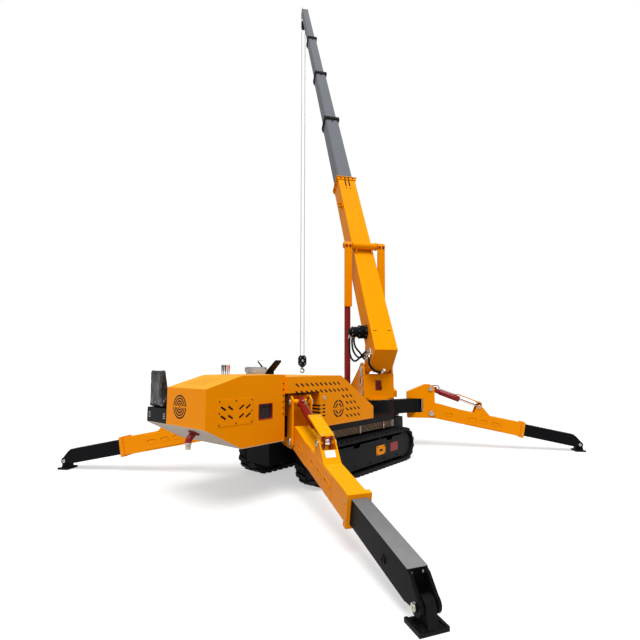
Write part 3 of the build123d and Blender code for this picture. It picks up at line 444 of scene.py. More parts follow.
def above(place, x, y, z):
    """A frame on an upper face of another one."""
    return facing(place, (x, y, z), (0, 0, 1))


def moved(place, x, y, z=0.0):
    """A frame shifted along its own axes."""
    return place @ Matrix.Translation((x, y, z))


def raised(place, height):
    """A frame shifted outwards."""
    return moved(place, 0, 0, height)


def evenly(first, last, count):
    """Values from first to last, all the same step apart."""
    return [first + (last - first) * index / (count - 1) for index in range(count)]


boom_frame = turned_frame(joints["luff"]["pos_m"], joints["telescope_2"]["axis"], joints["luff"]["axis"])
turret_frame = level_frame((0.0, 0.0, 0.0), joints["luff"]["axis"])
luff_frame = turned_frame(joints["luff_barrel_swing"]["pos_m"], joints["luff_rod_slide"]["axis"],
                          joints["luff_barrel_swing"]["axis"])
machine_frame = Matrix.Identity(4)
post_frames = {}
arm_frames = {}
cylinder_frames = {}
for corner in corners:
    lift = joints[corner + "_lift"]
    post = joints[corner + "_swing"]["pos_m"]
    post_frames[corner] = level_frame((post[0], post[1], 0.0), lift["axis"])
    arm_frames[corner] = turned_frame(lift["pos_m"], joints[corner + "_extend"]["axis"], lift["axis"])
    cylinder_frames[corner] = turned_frame(joints[corner + "_barrel_swing"]["pos_m"],
                                           joints[corner + "_rod_slide"]["axis"], lift["axis"])


# Mesh making

bead = 0.004
crease = radians(32)
sides = (-1, 1)
side_names = {-1: "right", 1: "left"}


def drawn_in(outline, by):
    """A convex outline with each side moved inwards."""
    result = []
    count = len(outline)
    for index, point in enumerate(outline):
        before = Vector(outline[index - 1]) - Vector(point)
        after = Vector(outline[(index + 1) % count]) - Vector(point)
        inwards = before.normalized() + after.normalized()
        lean = max(0.2, abs(before.normalized().cross(inwards.normalized())))
        result.append(tuple(Vector(point) + inwards.normalized() * by / lean))
    return result


def rectangle(x0, x1, y0, y1, corner=0.0, steps=4):
    """A rectangle's outline, with rounded corners if asked for."""
    if corner == 0.0:
        return [(x0, y0), (x1, y0), (x1, y1), (x0, y1)]
    centres = ((x1 - corner, y1 - corner), (x0 + corner, y1 - corner),
               (x0 + corner, y0 + corner), (x1 - corner, y0 + corner))
    points = []
    for quarter, (x, y) in enumerate(centres):
        for step in range(steps + 1):
            angle = (quarter + step / steps) * pi / 2
            points.append((x + corner * cos(angle), y + corner * sin(angle)))
    return points


def centred(half_x, half_y, corner=0.0, steps=4):
    """A rectangle's outline about its middle."""
    return rectangle(-half_x, half_x, -half_y, half_y, corner, steps)


class Piece:
    """A mesh in the making, gathered from plates, turned shapes, tubes, welds and bolts."""

    def __init__(self):
        self.mesh = bmesh.new()

    def skin(self, rings, closed=True):
        """Faces between rings of points, and over both ends if closed."""
        rows = [[self.mesh.verts.new(point) for point in ring] for ring in rings]
        count = len(rows[0])
        for low, high in zip(rows, rows[1:]):
            for index in range(count):
                after = (index + 1) % count
                self.mesh.faces.new((low[index], low[after], high[after], high[index]))
        if closed:
            self.mesh.faces.new(rows[0][::-1])
            self.mesh.faces.new(rows[-1])

    def plate(self, place, outline, thickness, bevel=0.002):
        """A plate on the XY plane of its place, with its upper edge broken."""
        rings = ((outline, 0.0), (outline, thickness - bevel), (drawn_in(outline, bevel), thickness))
        self.skin([[place @ Vector((x, y, z)) for x, y in points] for points, z in rings])

    def turn(self, place, profile, steps=24, closed=True):
        """A shape turned about the Z axis of its place, from (radius, height) points."""
        angles = [2 * pi * step / steps for step in range(steps)]
        self.skin([[place @ Vector((r * cos(a), r * sin(a), h)) for a in angles] for r, h in profile], closed)

    def tube(self, points, radius, steps=10):
        """A round tube through points."""
        points = [Vector(point) for point in points]
        normal = (points[1] - points[0]).orthogonal().normalized()
        rings = []
        for index, point in enumerate(points):
            run = points[min(index + 1, len(points) - 1)] - points[max(index - 1, 0)]
            normal = (normal - run * normal.dot(run) / run.length_squared).normalized()
            across = run.normalized().cross(normal)
            rings.append([point + (normal * cos(a) + across * sin(a)) * radius
                          for a in (2 * pi * step / steps for step in range(steps))])
        self.skin(rings)

    def weld(self, place, points, radius=bead):
        """A weld bead through points of a place."""
        self.tube([place @ Vector(point) for point in points], radius, 6)

    def bolt(self, place, size):
        """A hexagon head on a washer; size is the washer's radius."""
        self.turn(place, [(size, 0.0), (size, size * 0.14), (size * 0.92, size * 0.2)], 18)
        self.turn(raised(place, size * 0.18),
                  [(size * 0.76, 0.0), (size * 0.76, size * 0.42), (size * 0.62, size * 0.52)], 6)

    def bolt_circle(self, place, radius, count, size, height, start=0.0):
        """Bolts round the Z axis of a place, the first one a share of a step on."""
        for step in range(count):
            angle = 2 * pi * (step + start) / count
            self.bolt(moved(place, radius * cos(angle), radius * sin(angle), height), size)

    def corner_bolts(self, place, half_x, half_y, size):
        """Four bolts about the middle of a place."""
        for x in (-half_x, half_x):
            for y in (-half_y, half_y):
                self.bolt(moved(place, x, y), size)

    def pin_end(self, place, radius, height):
        """The end of a pin: broken edge, centre hole with a grease nipple."""
        self.turn(place, [(radius * 1.12, 0.0), (radius * 1.12, height * 0.5), (radius, height * 0.55),
                          (radius, height * 0.9), (radius * 0.9, height), (radius * 0.30, height),
                          (radius * 0.26, height * 0.7)])
        self.turn(raised(place, height * 0.7), [(radius * 0.16, 0.0), (radius * 0.16, height * 0.4),
                                                (radius * 0.08, height * 0.5), (radius * 0.11, height * 0.7)], 10)

    def placed(self, name, finish):
        """The finished object, which ends the making."""
        bmesh.ops.recalc_face_normals(self.mesh, faces=self.mesh.faces)
        data = bpy.data.meshes.new(name)
        self.mesh.to_mesh(data)
        self.mesh.free()
        data.materials.append(finishes[finish].material)
        data.polygons.foreach_set("use_smooth", [True] * len(data.polygons))
        data.set_sharp_from_angle(angle=crease)
        piece = bpy.data.objects.new(name, data)
        bpy.context.scene.collection.objects.link(piece)
        return piece

    def make(self, name, finish, body):
        """The finished object on its body, with its material slot."""
        piece = self.placed(name, finish)
        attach(piece, body)
        return piece


def curve_through(points, steps=10):
    """A smooth line through points, evenly cut between each two."""
    points = [Vector(point) for point in points]
    ends = [2 * points[0] - points[1]] + points + [2 * points[-1] - points[-2]]
    line = []
    for before, start, end, after in zip(ends, ends[1:], ends[2:], ends[3:]):
        for step in range(steps):
            t = step / steps
            line.append(0.5 * (2 * start + (end - before) * t + (2 * before - 5 * start + 4 * end - after) * t * t
                               + (3 * start - before - 3 * end + after) * t ** 3))
    return line + [points[-1]]


def hose(name, place, points, radius, body):
    """A rubber hose with a fitting at each end, fixed at both."""
    line = [place @ point for point in curve_through(points)]
    length = sum((second - first).length for first, second in zip(line, line[1:]))
    piece = Piece()
    piece.tube(line, radius, 12)
    hose_piece = piece.make(name, "hose", body)
    fittings = Piece()
    sleeve = radius * 1.25
    nut = sleeve * 1.25
    for end, inner in ((line[0], line[2]), (line[-1], line[-3])):
        direction = (inner - end).normalized()
        seat = Matrix.Translation(end) @ direction.to_track_quat("Z", "Y").to_matrix().to_4x4()
        fittings.turn(raised(seat, radius * 0.4),
                      [(sleeve, 0.0), (sleeve, radius * 3.2), (radius * 1.05, radius * 3.6)], 14)
        fittings.turn(raised(seat, -radius * 1.2), [(nut, 0.0), (nut, radius * 1.7), (sleeve, radius * 1.9)], 6)
    ends = fittings.make(name + "_fittings", "zinc", body)


# Outriggers. A turned profile is a row of (radius, height) points.

bolt_small = 0.011
bolt_large = 0.018
rod_eye_radius = 0.045
hinge_pin_radius = 0.044
lift_pin_radius = 0.039
bracket_pin_height = 0.012
bracket_middle = 0.06
bracket_top_limit = 1.2
swing_cap = ((0.074, -0.004), (0.074, 0.010), (0.068, 0.014), (0.030, 0.014), (0.026, 0.010))
swing_cap_bolts = 0.054
swing_cap_seat = 0.012
arm_half = 0.095
arm_middle = 0.046
arm_half_height = 0.130
arm_top = arm_middle + arm_half_height
arm_bottom = arm_middle - arm_half_height
arm_root_length = 0.55
doubler_ends = (0.680, 1.330)
doubler_rise = 0.111
doubler_thickness = 0.004
slot_length = 0.150
slot_height = 0.066
slot_pitch = 0.215
root_slot = 0.340
root_half = 0.1025
lug_pin_radius = 0.032
lug_pin_height = 0.014
lug_tube_radius = 0.027
lug_weld_start = 0.08
lug_slope_length = 0.220
lug_slope = Vector((0.172, 0.0, -0.154))
lug_slope_foot = 1.100
lug_plate_half = (0.038, 0.055)
collar_face = arm_half + 0.0195
collar_bolt_rise = 0.085
collar_bolt_inset = 0.03
inner_half = 0.0775
inner_box_end = 2.640
inner_hole_along = 2.335
inner_hole_drop = 0.03
lock_boss = ((0.030, -0.002), (0.030, 0.006), (0.027, 0.009), (0.018, 0.009), (0.015, 0.001))
end_bolt_side = 0.045
end_bolt_rise = 0.075
foot_pin_radius = 0.024
foot_pin_height = 0.008
foot_cheek = 0.012
foot_lug_half = (0.075, 0.038)
foot_plate_top = 0.022
foot_stud_inset = (0.03, 0.042)
barrel_radius = 0.046
sleeve_radius = 0.057
sleeve_length = 0.41
port_insets = (0.10, 0.09)
port_half = (0.024, 0.02)
port_height = 0.022
port_nut = ((0.016, 0.0), (0.016, 0.008), (0.013, 0.010), (0.010, 0.014))
line_radius = 0.007
line_rise = 0.022
line_bend = 0.04
clevis_side = 0.027
clevis_thickness = 0.014
clevis_bridge = 0.062
base_hose_radius = 0.009
base_hose_run = ((0.17, 0.0, 0.045), (0.17, 0.02, 0.085), (0.13, 0.055, 0.105), (0.06, 0.080, 0.085),
                 (0.0, 0.085, 0.03), (0.0, 0.062, -0.045), (0.06, 0.03, -0.065))


def lift_length(corner):
    """Distance between the two pins of a lift cylinder."""
    return extent(corner + "_rod", cylinder_frames[corner])[1].x - rod_eye_radius


def bracket_pins(corner):
    """Pin ends of a swing bracket, and the bolted cap over its swing pin."""
    node = corner + "_bracket"
    post = post_frames[corner]
    hinge = post.inverted() @ arm_frames[corner].translation
    lift = post.inverted() @ cylinder_frames[corner].translation
    low, high = extent(node, post)
    piece = Piece()
    for side, y in ((-1, low.y), (1, high.y)):
        for at, radius in ((hinge, hinge_pin_radius), (lift, lift_pin_radius)):
            piece.pin_end(flank(post, side, at.x, y, at.z), radius, bracket_pin_height)
    middle = measured(node, post, lambda p: abs(p.x) < bracket_middle and p.z < bracket_top_limit)
    cap = raised(post, max(point.z for point in middle))
    piece.turn(cap, swing_cap, 32)
    piece.bolt_circle(cap, swing_cap_bolts, 6, bolt_small * 0.8, swing_cap_seat)
    piece.make(corner + "_bracket_pins", "zinc", node)


def arm_fittings(corner):
    """Cylinder pin, collar bolts and weld beads of an outrigger's outer box."""
    arm = arm_frames[corner]
    lug = arm.inverted() @ (cylinder_frames[corner] @ Vector((lift_length(corner), 0, 0)))
    pins = Piece()
    welds = Piece()
    middle = sum(doubler_ends) / 2
    arm_slots = [(root_slot, root_half)]
    arm_slots += [(middle + step * slot_pitch, arm_half + doubler_thickness) for step in (-1, 0, 1)]
    slot_rim = centred(slot_length / 2, slot_height / 2, slot_height * 0.499, 6)
    for side in sides:
        y = side * arm_half
        pins.pin_end(flank(arm, side, lug.x, y, lug.z), lug_pin_radius, lug_pin_height)
        for x, face in arm_slots:
            rim = [(x + along, side * face, arm_middle + rise) for along, rise in slot_rim]
            welds.weld(arm, rim + rim[:2])
        ring = [(x, y, arm_middle + z) for x, z in rectangle(*doubler_ends, -doubler_rise, doubler_rise)]
        for ends in zip(ring, ring[1:] + ring[:1]):
            welds.weld(arm, ends)
        welds.weld(arm, [(arm_root_length, y, z) for z in (arm_bottom, arm_top)])
        welds.weld(arm, [(x, y, arm_top) for x in (lug.x - lug_weld_start, lug.x + lug_slope_length)])
    welds.tube([arm @ Vector((lug.x, y, lug.z)) for y in (-arm_half, arm_half)], lug_tube_radius, 20)
    collar_bolts = extent(corner + "_arm", arm)[1].x - collar_bolt_inset
    for side in sides:
        for rise in (-collar_bolt_rise, collar_bolt_rise):
            pins.bolt(flank(arm, side, collar_bolts, side * collar_face, arm_middle + rise), bolt_small)
    pins.make(corner + "_arm_pins", "zinc", corner + "_arm")
    welds.make(corner + "_arm_welds", "yellow", corner + "_arm")


def inner_fittings(corner):
    """Lock bosses and end bolts of an inner box, and the ends of its foot pin."""
    arm = arm_frames[corner]
    foot_pin = arm.inverted() @ Vector(joints[corner + "_foot_tilt"]["pos_m"])
    bosses = Piece()
    pins = Piece()
    for side in sides:
        hole = flank(arm, side, inner_hole_along, side * inner_half, arm_middle - inner_hole_drop)
        bosses.turn(hole, lock_boss, 28)
        pins.pin_end(flank(arm, side, foot_pin.x, side * (inner_half + foot_cheek), foot_pin.z),
                     foot_pin_radius, foot_pin_height)
        end = (inner_box_end, side * end_bolt_side, arm_middle + end_bolt_rise)
        pins.bolt(facing(arm, end, (1, 0, 0), (0, 1, 0)), bolt_small)
    bosses.make(corner + "_inner_bosses", "black", corner + "_inner")
    pins.make(corner + "_foot_pin", "zinc", corner + "_inner")


def foot_welds(corner):
    """Weld beads round a foot's lug, and the studs of its plate."""
    post = post_frames[corner]
    low, high = extent(corner + "_foot", post)
    middle = (low.x + high.x) / 2
    half_x, half_y = foot_lug_half
    inset_x, inset_y = foot_stud_inset
    piece = Piece()
    for side in sides:
        piece.weld(post, [(middle + x, side * half_y, foot_plate_top) for x in (-half_x, half_x)], bead * 1.3)
        piece.weld(post, [(middle + side * half_x, y, foot_plate_top) for y in (-half_y, half_y)], bead * 1.3)
        for x in (low.x + inset_x, high.x - inset_x):
            piece.bolt(above(post, x, side * (high.y - inset_y), foot_plate_top), bolt_small)
    piece.make(corner + "_foot_welds", "black", corner + "_foot")


def barrel_fittings(corner):
    """Sleeve, ports and hard line of a lift cylinder's barrel."""
    cylinder = cylinder_frames[corner]
    mouth = extent(corner + "_barrel", cylinder)[1].x
    base_port, mouth_port = port_insets[0], mouth - port_insets[1]
    rings = Piece()
    sleeve = ((0.030, 0.0), (sleeve_radius - 0.004, 0.002), (sleeve_radius, 0.008),
              (sleeve_radius, sleeve_length - 0.01), (sleeve_radius - 0.006, sleeve_length),
              (barrel_radius, sleeve_length))
    rings.turn(facing(cylinder, (mouth, 0, 0), (-1, 0, 0), (0, 1, 0)), sleeve, 36, closed=False)
    lines = Piece()
    for x in (base_port, mouth_port):
        rings.plate(above(cylinder, x, 0, barrel_radius - 0.002), centred(*port_half, 0.004), port_height)
        lines.turn(above(cylinder, x, 0, barrel_radius + 0.014), port_nut, 6)
    foot = barrel_radius + 0.02
    top = barrel_radius + line_rise
    run = [(base_port, 0, foot), (base_port, 0, top - 0.006), (base_port + line_bend, 0, top),
           (mouth_port - line_bend, 0, top), (mouth_port, 0, top - 0.006), (mouth_port, 0, foot)]
    lines.tube([cylinder @ point for point in curve_through(run, 6)], line_radius)
    rings.make(corner + "_barrel_rings", "red", corner + "_barrel")
    lines.make(corner + "_barrel_lines", "zinc", corner + "_barrel")


def rod_fittings(corner):
    """Clevis of a lift cylinder's rod, and the screws of its guard."""
    cylinder = cylinder_frames[corner]
    low, high = extent(corner + "_guard", cylinder)
    eye = lift_length(corner)
    width = high.y * 0.8
    clevis = Piece()
    for side in sides:
        cheek = flank(cylinder, side, eye, side * clevis_side, 0)
        clevis.plate(cheek, rectangle(-0.05, 0.05, -0.05, 0.06, 0.02), clevis_thickness)
    clevis.plate(above(cylinder, eye - 0.02, 0, clevis_bridge), centred(0.055, width, 0.008), clevis_thickness)
    clevis.make(corner + "_clevis", "red", corner + "_rod")
    screws = Piece()
    for x in (high.x - 0.025, low.x + 0.05):
        for y in (-width, width):
            screws.bolt(above(cylinder, x, y * 0.85, high.z), bolt_small)
    screws.make(corner + "_guard_screws", "zinc", corner + "_rod")


def lug_plate(corner):
    """Blank white plate on the sloped back of an arm's lug."""
    middle = Vector((lug_slope_foot, 0.0, arm_top)) - lug_slope * 0.45
    place = facing(arm_frames[corner], middle, lug_slope.cross(Vector((0.0, 1.0, 0.0))), lug_slope)
    piece = Piece()
    piece.plate(place, centred(*lug_plate_half, 0.006), 0.004, 0.001)
    piece.make(corner + "_lug_plate", "white", corner + "_arm")


for corner in corners:
    bracket_pins(corner)
    arm_fittings(corner)
    inner_fittings(corner)
    foot_welds(corner)
    barrel_fittings(corner)
    rod_fittings(corner)
    hose(corner + "_base_hose", cylinder_frames[corner], base_hose_run, base_hose_radius, corner + "_barrel")
lug_plate("rear_right")


# Tracks, deck, hood and cabinet. A box on a side wall is (x0, x1, z0, z1), a place on it (x, z), on the end (y, z).

track_low, track_high = extent("track_right", machine_frame)
hood_low, hood_high = extent("hood", machine_frame)
cabinet_low, cabinet_high = extent("cabinet", machine_frame)
inlay = (0.003, 0.001)                # thickness, broken edge
skirt_face = 0.736
roller_height = 0.145
roller_inset = 0.55
roller_rows = 5
track_cover = (-1.070, -0.815, 0.215, 0.355)
track_cover_thickness = 0.008
blank_plate = (-0.655, -0.415, 0.215, 0.352)
pipe_pitch = 0.018
pipe_radius = 0.0055
pipe_count = 6
pipe_depth = 0.016
pipe_nut = ((0.008, 0.0), (0.008, 0.030), (0.007, 0.034))
clamp_inset = 0.3
deck_hose_radius = 0.0075
deck_hose_pitch = 0.020
spur_low = 0.690
hood_lock_at = (-2.262, 1.174)
hood_lock = ((0.026, 0.0), (0.026, 0.006), (0.022, 0.010), (0.013, 0.010), (0.011, 0.006))
hood_bolts = 9
hood_bolt_inset = 0.10
hood_bolt_rise = 0.018
# Painted shade: outline of the black plates inside the hood, how far in they sit from its sides and from the
# cabinet's end, and half their thickness.
hood_painted_shade = ((-2.34, 0.80), (-1.12, 0.80), (-1.12, 0.96), (-1.89, 1.45), (-2.34, 1.45))
shade_plate_gap = 0.012
shade_plate_half = 0.002
sheet = 0.006
fill_depth = 0.0008
vent_slot_width = 0.022
vent_slot_length = 0.076
vent_slot_lean = radians(33)
vent_slot_step = 0.095
# Rows of slots: first x, height and count; on the cover, first x, height and way of the lean.
hood_slots = ((-2.795, 1.357, 10), (-2.795, 1.262, 12), (-1.740, 0.882, 4), (-1.740, 0.977, 4), (-1.740, 1.072, 3),
              (-1.835, 1.167, 3))
short_slots = ((-2.365, 0.933), (-2.365, 0.979), (-2.365, 1.025), (-2.365, 1.071))
short_slot_length = 0.060
hood_vent = (-1.945, 1.002)
# Rings of the round vents: inner and outer radius. The dark rings are painted shade of the vents' openings; the end
# vent's yellow rings are the metal between.
hood_vent_shade_arcs = ((0.014, 0.024), (0.052, 0.076), (0.098, 0.122))
hood_vent_bridge = 0.010
cabinet_face = -0.620
cover_face = -0.623
cover_box = (-3.958, -3.471, 0.953, 1.241)
cover_slots = ((-3.8855, 1.1445, 1), (-3.8855, 1.0495, 1), (-3.6385, 1.1445, -1), (-3.6385, 1.0495, -1))
cover_screw_inset = 0.02
edge_bolts = (1.014, 1.384, 6)        # lowest, highest, count
edge_bolt_inset = 0.025
latch_box = (-3.380, -3.175, 0.985, 1.153)
latch_rim_out = 0.007
latch_rim_in = 0.004
latch_rim_height = 0.005
latch_depth = 0.016
latch_lock = ((0.012, 0.0), (0.012, 0.012), (0.009, 0.015))
end_vent = (-0.127, 1.152)
end_vent_shade_arcs = ((0.004, 0.014), (0.027, 0.041), (0.056, 0.0715), (0.086, 0.101), (0.116, 0.131))
end_vent_rings = ((0.014, 0.027), (0.0715, 0.086), (0.101, 0.116))
end_vent_bridge = 0.009
bridge_limit = 0.6
arc_steps = 20
# Painted shade: half size of the black plate behind the end vent, and line and half width of the one under the roof's
# holes.
end_vent_shade_plate = 0.16
seat_side = 0.150
roof_shade_plate_line = ((-4.098, 1.350), (-3.640, 1.480))
roof_shade_plate_half = 0.34
roof_line = ((-4.110, 1.360), (-3.630, 1.495))
roof_hole = (0.034, 0.012, 0.062)     # length, width, pitch
roof_holes = (4, 6)                   # columns, rows
base_marks_across = (0.20, 0.54)
base_marks_up = (1.000, 1.025, 1.050)
lever_front = -2.8
lever_count = 5
lever_radius = 0.006
lever_knob = ((0.006, -0.058), (0.0085, -0.050), (0.0095, -0.010), (0.0105, 0.010), (0.009, 0.024), (0.005, 0.0295))
lever_colours = ("red_plastic", "yellow_plastic", "plastic", "plastic", "plastic")
knob_drop = 0.03
rest_rise = 0.064
rest_shading_thickness = 0.006
lid_inset = 0.012
lid_height = 0.005
lid_ear = 0.014
lid_ear_inset = 0.05


def upright(side, x, y, z):
    """A frame on a side wall of the machine, X along it and Z outwards."""
    return flank(machine_frame, side, x, y, z)


def wall_box(side, y, box):
    """The frame in the middle of a box on a side wall, and the box's half sizes."""
    x0, x1, z0, z1 = box
    return upright(side, (x0 + x1) / 2, y, (z0 + z1) / 2), (x1 - x0) / 2, (z1 - z0) / 2


def slot_shade_fill(piece, side, face, x, z, length, lean):
    """Painted shade: a black fill in one slot of a side wall, just under its face."""
    along = Vector((cos(lean), 0.0, -sin(lean))) * length / 2
    across = Vector((sin(lean), 0.0, cos(lean))) * vent_slot_width / 2
    ring = (along + across, along - across, -along - across, across - along)
    piece.skin([[Vector((x, side * (face - depth), z)) + corner for corner in ring] for depth in (sheet, fill_depth)])


def ring_fill(piece, place, inner, outer, bridge, parts, low, high):
    """Parts of a flat ring, with a bridge left free between them."""
    free = asin(min(bridge_limit, 2 * bridge / (inner + outer)))
    span = 2 * pi / parts
    for part in range(parts):
        turns = [part * span + free + (span - 2 * free) * step / arc_steps for step in range(arc_steps + 1)]
        arc = [(outer * cos(a), outer * sin(a)) for a in turns]
        arc += [(inner * cos(a), inner * sin(a)) for a in turns[::-1]]
        piece.skin([[place @ Vector((x, y, z)) for x, y in arc] for z in (low, high)])


def track_covers():
    """Cover plate, blank plate and roller bolts on the outside of each roller frame."""
    for side, name in side_names.items():
        face = side * skirt_face
        cover = Piece()
        middle, half_x, half_z = wall_box(side, face, track_cover)
        cover.plate(middle, centred(half_x, half_z, 0.02), track_cover_thickness)
        cover.make("track_cover_" + name, "yellow", "chassis")
        plate = Piece()
        place, *plate_half = wall_box(side, face, blank_plate)
        plate.plate(place, centred(*plate_half, 0.006), 0.004)
        plate.make("track_plate_" + name, "red", "chassis")
        bolts = Piece()
        bolts.plate(raised(middle, track_cover_thickness), centred(0.045, 0.016, 0.012), *inlay)
        bolts.corner_bolts(raised(middle, track_cover_thickness), half_x * 0.78, half_z * 0.78, bolt_small)
        for x in evenly(track_low.x + roller_inset, track_high.x - roller_inset, roller_rows):
            bolts.bolt(upright(side, x, face, roller_height), bolt_large)
        bolts.make("track_bolts_" + name, "black", "chassis")


def pipe_fittings():
    """Clamp bolts and end nuts of the deck pipes, and the hoses from them to the front right spur."""
    low, high = extent("deck_pipes", machine_frame)
    middle = low.y + pipe_depth
    heights = [low.z + pipe_radius + pipe_pitch * (index + 0.5) for index in range(pipe_count)]
    nuts = Piece()
    for x in (low.x + clamp_inset, (low.x + high.x) / 2, high.x - clamp_inset):
        nuts.bolt(upright(-1, x, low.y, heights[2]), bolt_small * 1.1)
    for z in heights:
        for x, way in ((low.x, -1), (high.x, 1)):
            nuts.turn(facing(machine_frame, (x - way * 0.035, middle, z), (way, 0, 0), (0, 0, 1)), pipe_nut, 6)
    nuts.make("pipe_fittings", "zinc", "chassis")
    for index, z in enumerate(heights):
        across = deck_hose_pitch * index
        run = ((0.0, 0.0, z), (0.12, 0.002, z), (0.32, 0.03 + across * 0.3, z - 0.02),
               (0.55, 0.16 + across * 0.6, spur_low - 0.08), (0.78, 0.33 + across, spur_low - 0.07),
               (0.92, 0.41 + across, spur_low - 0.012))
        points = [(high.x + x, middle + y, height) for x, y, height in run]
        hose("deck_hose_%d" % (index + 1), machine_frame, points, deck_hose_radius, "chassis")


def hood_fittings():
    """Locks and flange bolts of the hood, and black plates and fills behind its slots and in its round vent, as
    painted shade.
    """
    locks = Piece()
    for side in sides:
        face = side * hood_high.y
        lock = upright(side, hood_lock_at[0], face, hood_lock_at[1])
        locks.turn(lock, hood_lock, 28)
        locks.plate(raised(lock, 0.006), centred(0.003, 0.009), 0.006, 0.001)
        for x in evenly(hood_low.x + hood_bolt_inset, hood_high.x - hood_bolt_inset, hood_bolts):
            locks.bolt(upright(side, x, face, hood_low.z + hood_bolt_rise), bolt_small * 0.8)
    locks.make("hood_locks", "zinc", "chassis")
    # Painted shade: black plates inside the hood, and black fills in its slots and its round vent.
    painted_shading = Piece()
    for y in (hood_low.y + shade_plate_gap, hood_high.y - shade_plate_gap):
        painted_shading.skin([[Vector((x, y + thick, z)) for x, z in hood_painted_shade] for thick in (-shade_plate_half, shade_plate_half)])
    for side in sides:
        for x, z, count in hood_slots:
            for index in range(count):
                slot_shade_fill(painted_shading, side, hood_high.y, x + index * vent_slot_step, z, vent_slot_length, vent_slot_lean)
        for x, z in short_slots:
            for index in range(2):
                slot_shade_fill(painted_shading, side, hood_high.y, x + index * vent_slot_step, z, short_slot_length, 0.0)
        vent = upright(side, hood_vent[0], side * hood_high.y, hood_vent[1])
        for inner, outer in hood_vent_shade_arcs:
            ring_fill(painted_shading, vent, inner, outer, hood_vent_bridge, 4, -sheet, -fill_depth)
    painted_shading.make("hood_painted_shade", "black", "chassis")


def cabinet_screws():
    """Screws of the side cover and bolts along the cabinet's front edge."""
    screws = Piece()
    x0, x1, z0, z1 = cover_box
    columns = (x0 + cover_screw_inset, (x0 + x1) / 2, x1 - cover_screw_inset)
    spots = [(x, z) for x in columns for z in (z0 + cover_screw_inset, z1 - cover_screw_inset)]
    spots += [(x, (z0 + z1) / 2) for x in columns[::2]]
    for x, z in spots:
        screws.bolt(upright(-1, x, cover_face, z), bolt_small * 0.75)
    for z in evenly(*edge_bolts):
        screws.bolt(upright(-1, cabinet_high.x - edge_bolt_inset, cabinet_face, z), bolt_small * 0.9)
    screws.make("cabinet_screws", "black", "chassis")


def cabinet_latch():
    """Red rim, dark back, paddle and lock of the latch on the cabinet's side."""
    place, half_x, half_z = wall_box(-1, cabinet_face, latch_box)
    rim = Piece()
    outer = centred(half_x + latch_rim_out, half_z + latch_rim_out, 0.016)
    inner = centred(half_x - latch_rim_in, half_z - latch_rim_in, 0.012)
    rings = ((outer, 0.0), (outer, latch_rim_height), (inner, latch_rim_height), (inner, -latch_depth))
    rim.skin([[place @ Vector((x, y, z)) for x, y in points] for points, z in rings], closed=False)
    rim.make("latch_frame", "red", "chassis")
    paddle = Piece()
    paddle.plate(raised(place, -latch_depth - 0.006), centred(half_x, half_z, 0.012), 0.008)
    lean = moved(place, 0, 0.012, -latch_depth - 0.002) @ Matrix.Rotation(radians(10), 4, "X")
    paddle.plate(lean, rectangle(-0.045, 0.045, -0.042, 0.024, 0.010), 0.012, 0.004)
    paddle.turn(moved(place, 0, 0.050, -latch_depth), latch_lock, 20)
    paddle.make("cabinet_latch", "plastic", "chassis")


def roof_height(x):
    """Height of the cabinet's sloped roof."""
    (rear, low), (knee, top) = roof_line
    return low + (x - rear) * (top - low) / (knee - rear)


def roof_shade_fill(piece):
    """Painted shade: black fills in the rows of holes in the cabinet's sloped roof."""
    length, width, pitch = roof_hole
    columns, rows = roof_holes
    for column in range(columns):
        for row in range(rows):
            x = (roof_line[0][0] + roof_line[1][0]) / 2 + (column - (columns - 1) / 2) * pitch
            y = (cabinet_face + seat_side) / 2 + (row - (rows - 1) / 2) * pitch
            outline = rectangle(x - length / 2, x + length / 2, y - width / 2, y + width / 2)
            piece.skin([[Vector((px, py, roof_height(px) - depth)) for px, py in outline]
                        for depth in (sheet, fill_depth)])


def cabinet_painted_shade():
    """Black plates behind the vents of the cabinet and black fills in its slots, as painted shade, and the fine rings
    of its end vent: dark ones as painted shade, yellow ones between.
    """
    # Painted shade: black plates behind the end vent, the side cover and the roof, dark arcs on the end vent, and
    # black fills in the cover's slots and the roof's holes.
    painted_shading = Piece()
    across, up = end_vent
    rear = facing(machine_frame, (cabinet_low.x + shade_plate_gap, across, up), (1, 0, 0), (0, 1, 0))
    painted_shading.plate(rear, centred(end_vent_shade_plate, end_vent_shade_plate, 0.02), 0.004)
    cover, *cover_half = wall_box(1, cabinet_face + 0.010, cover_box)
    painted_shading.plate(cover, centred(*cover_half, 0.02), 0.004)
    (x0, z0), (x1, z1) = roof_shade_plate_line
    run = Vector((x1 - x0, 0.0, z1 - z0))
    middle = ((x0 + x1) / 2, across - 0.10, (z0 + z1) / 2 - sheet)
    roof = facing(machine_frame, middle, Vector((0.0, 1.0, 0.0)).cross(run), run)
    painted_shading.plate(roof, centred(run.length * 0.46, roof_shade_plate_half, 0.02), 0.004)
    face = facing(machine_frame, (cabinet_low.x, across, up), (-1, 0, 0), (0, -1, 0))
    lands = Piece()
    for piece, arcs, height in ((painted_shading, end_vent_shade_arcs, 0.0015), (lands, end_vent_rings, 0.0008)):
        for inner, outer in arcs:
            ring_fill(piece, face, inner, outer, end_vent_bridge, 2, -0.002, height)
    lands.make("end_vent_rings", "yellow", "chassis")
    for x, z, way in cover_slots:
        for index in range(2):
            slot_shade_fill(painted_shading, -1, -cover_face, x + index * vent_slot_step, z, vent_slot_length, way * vent_slot_lean)
    roof_shade_fill(painted_shading)
    painted_shading.make("cabinet_painted_shade", "black", "chassis")


def base_marks():
    """Short bright marks on the end of the seat base."""
    marks = Piece()
    for y in base_marks_across:
        for z in base_marks_up:
            mark = facing(machine_frame, (cabinet_low.x, y, z), (-1, 0, 0), (0, 1, 0))
            marks.plate(mark, centred(0.022, 0.004, 0.003), 0.002, 0.001)
    marks.make("seat_base_marks", "silver", "chassis")


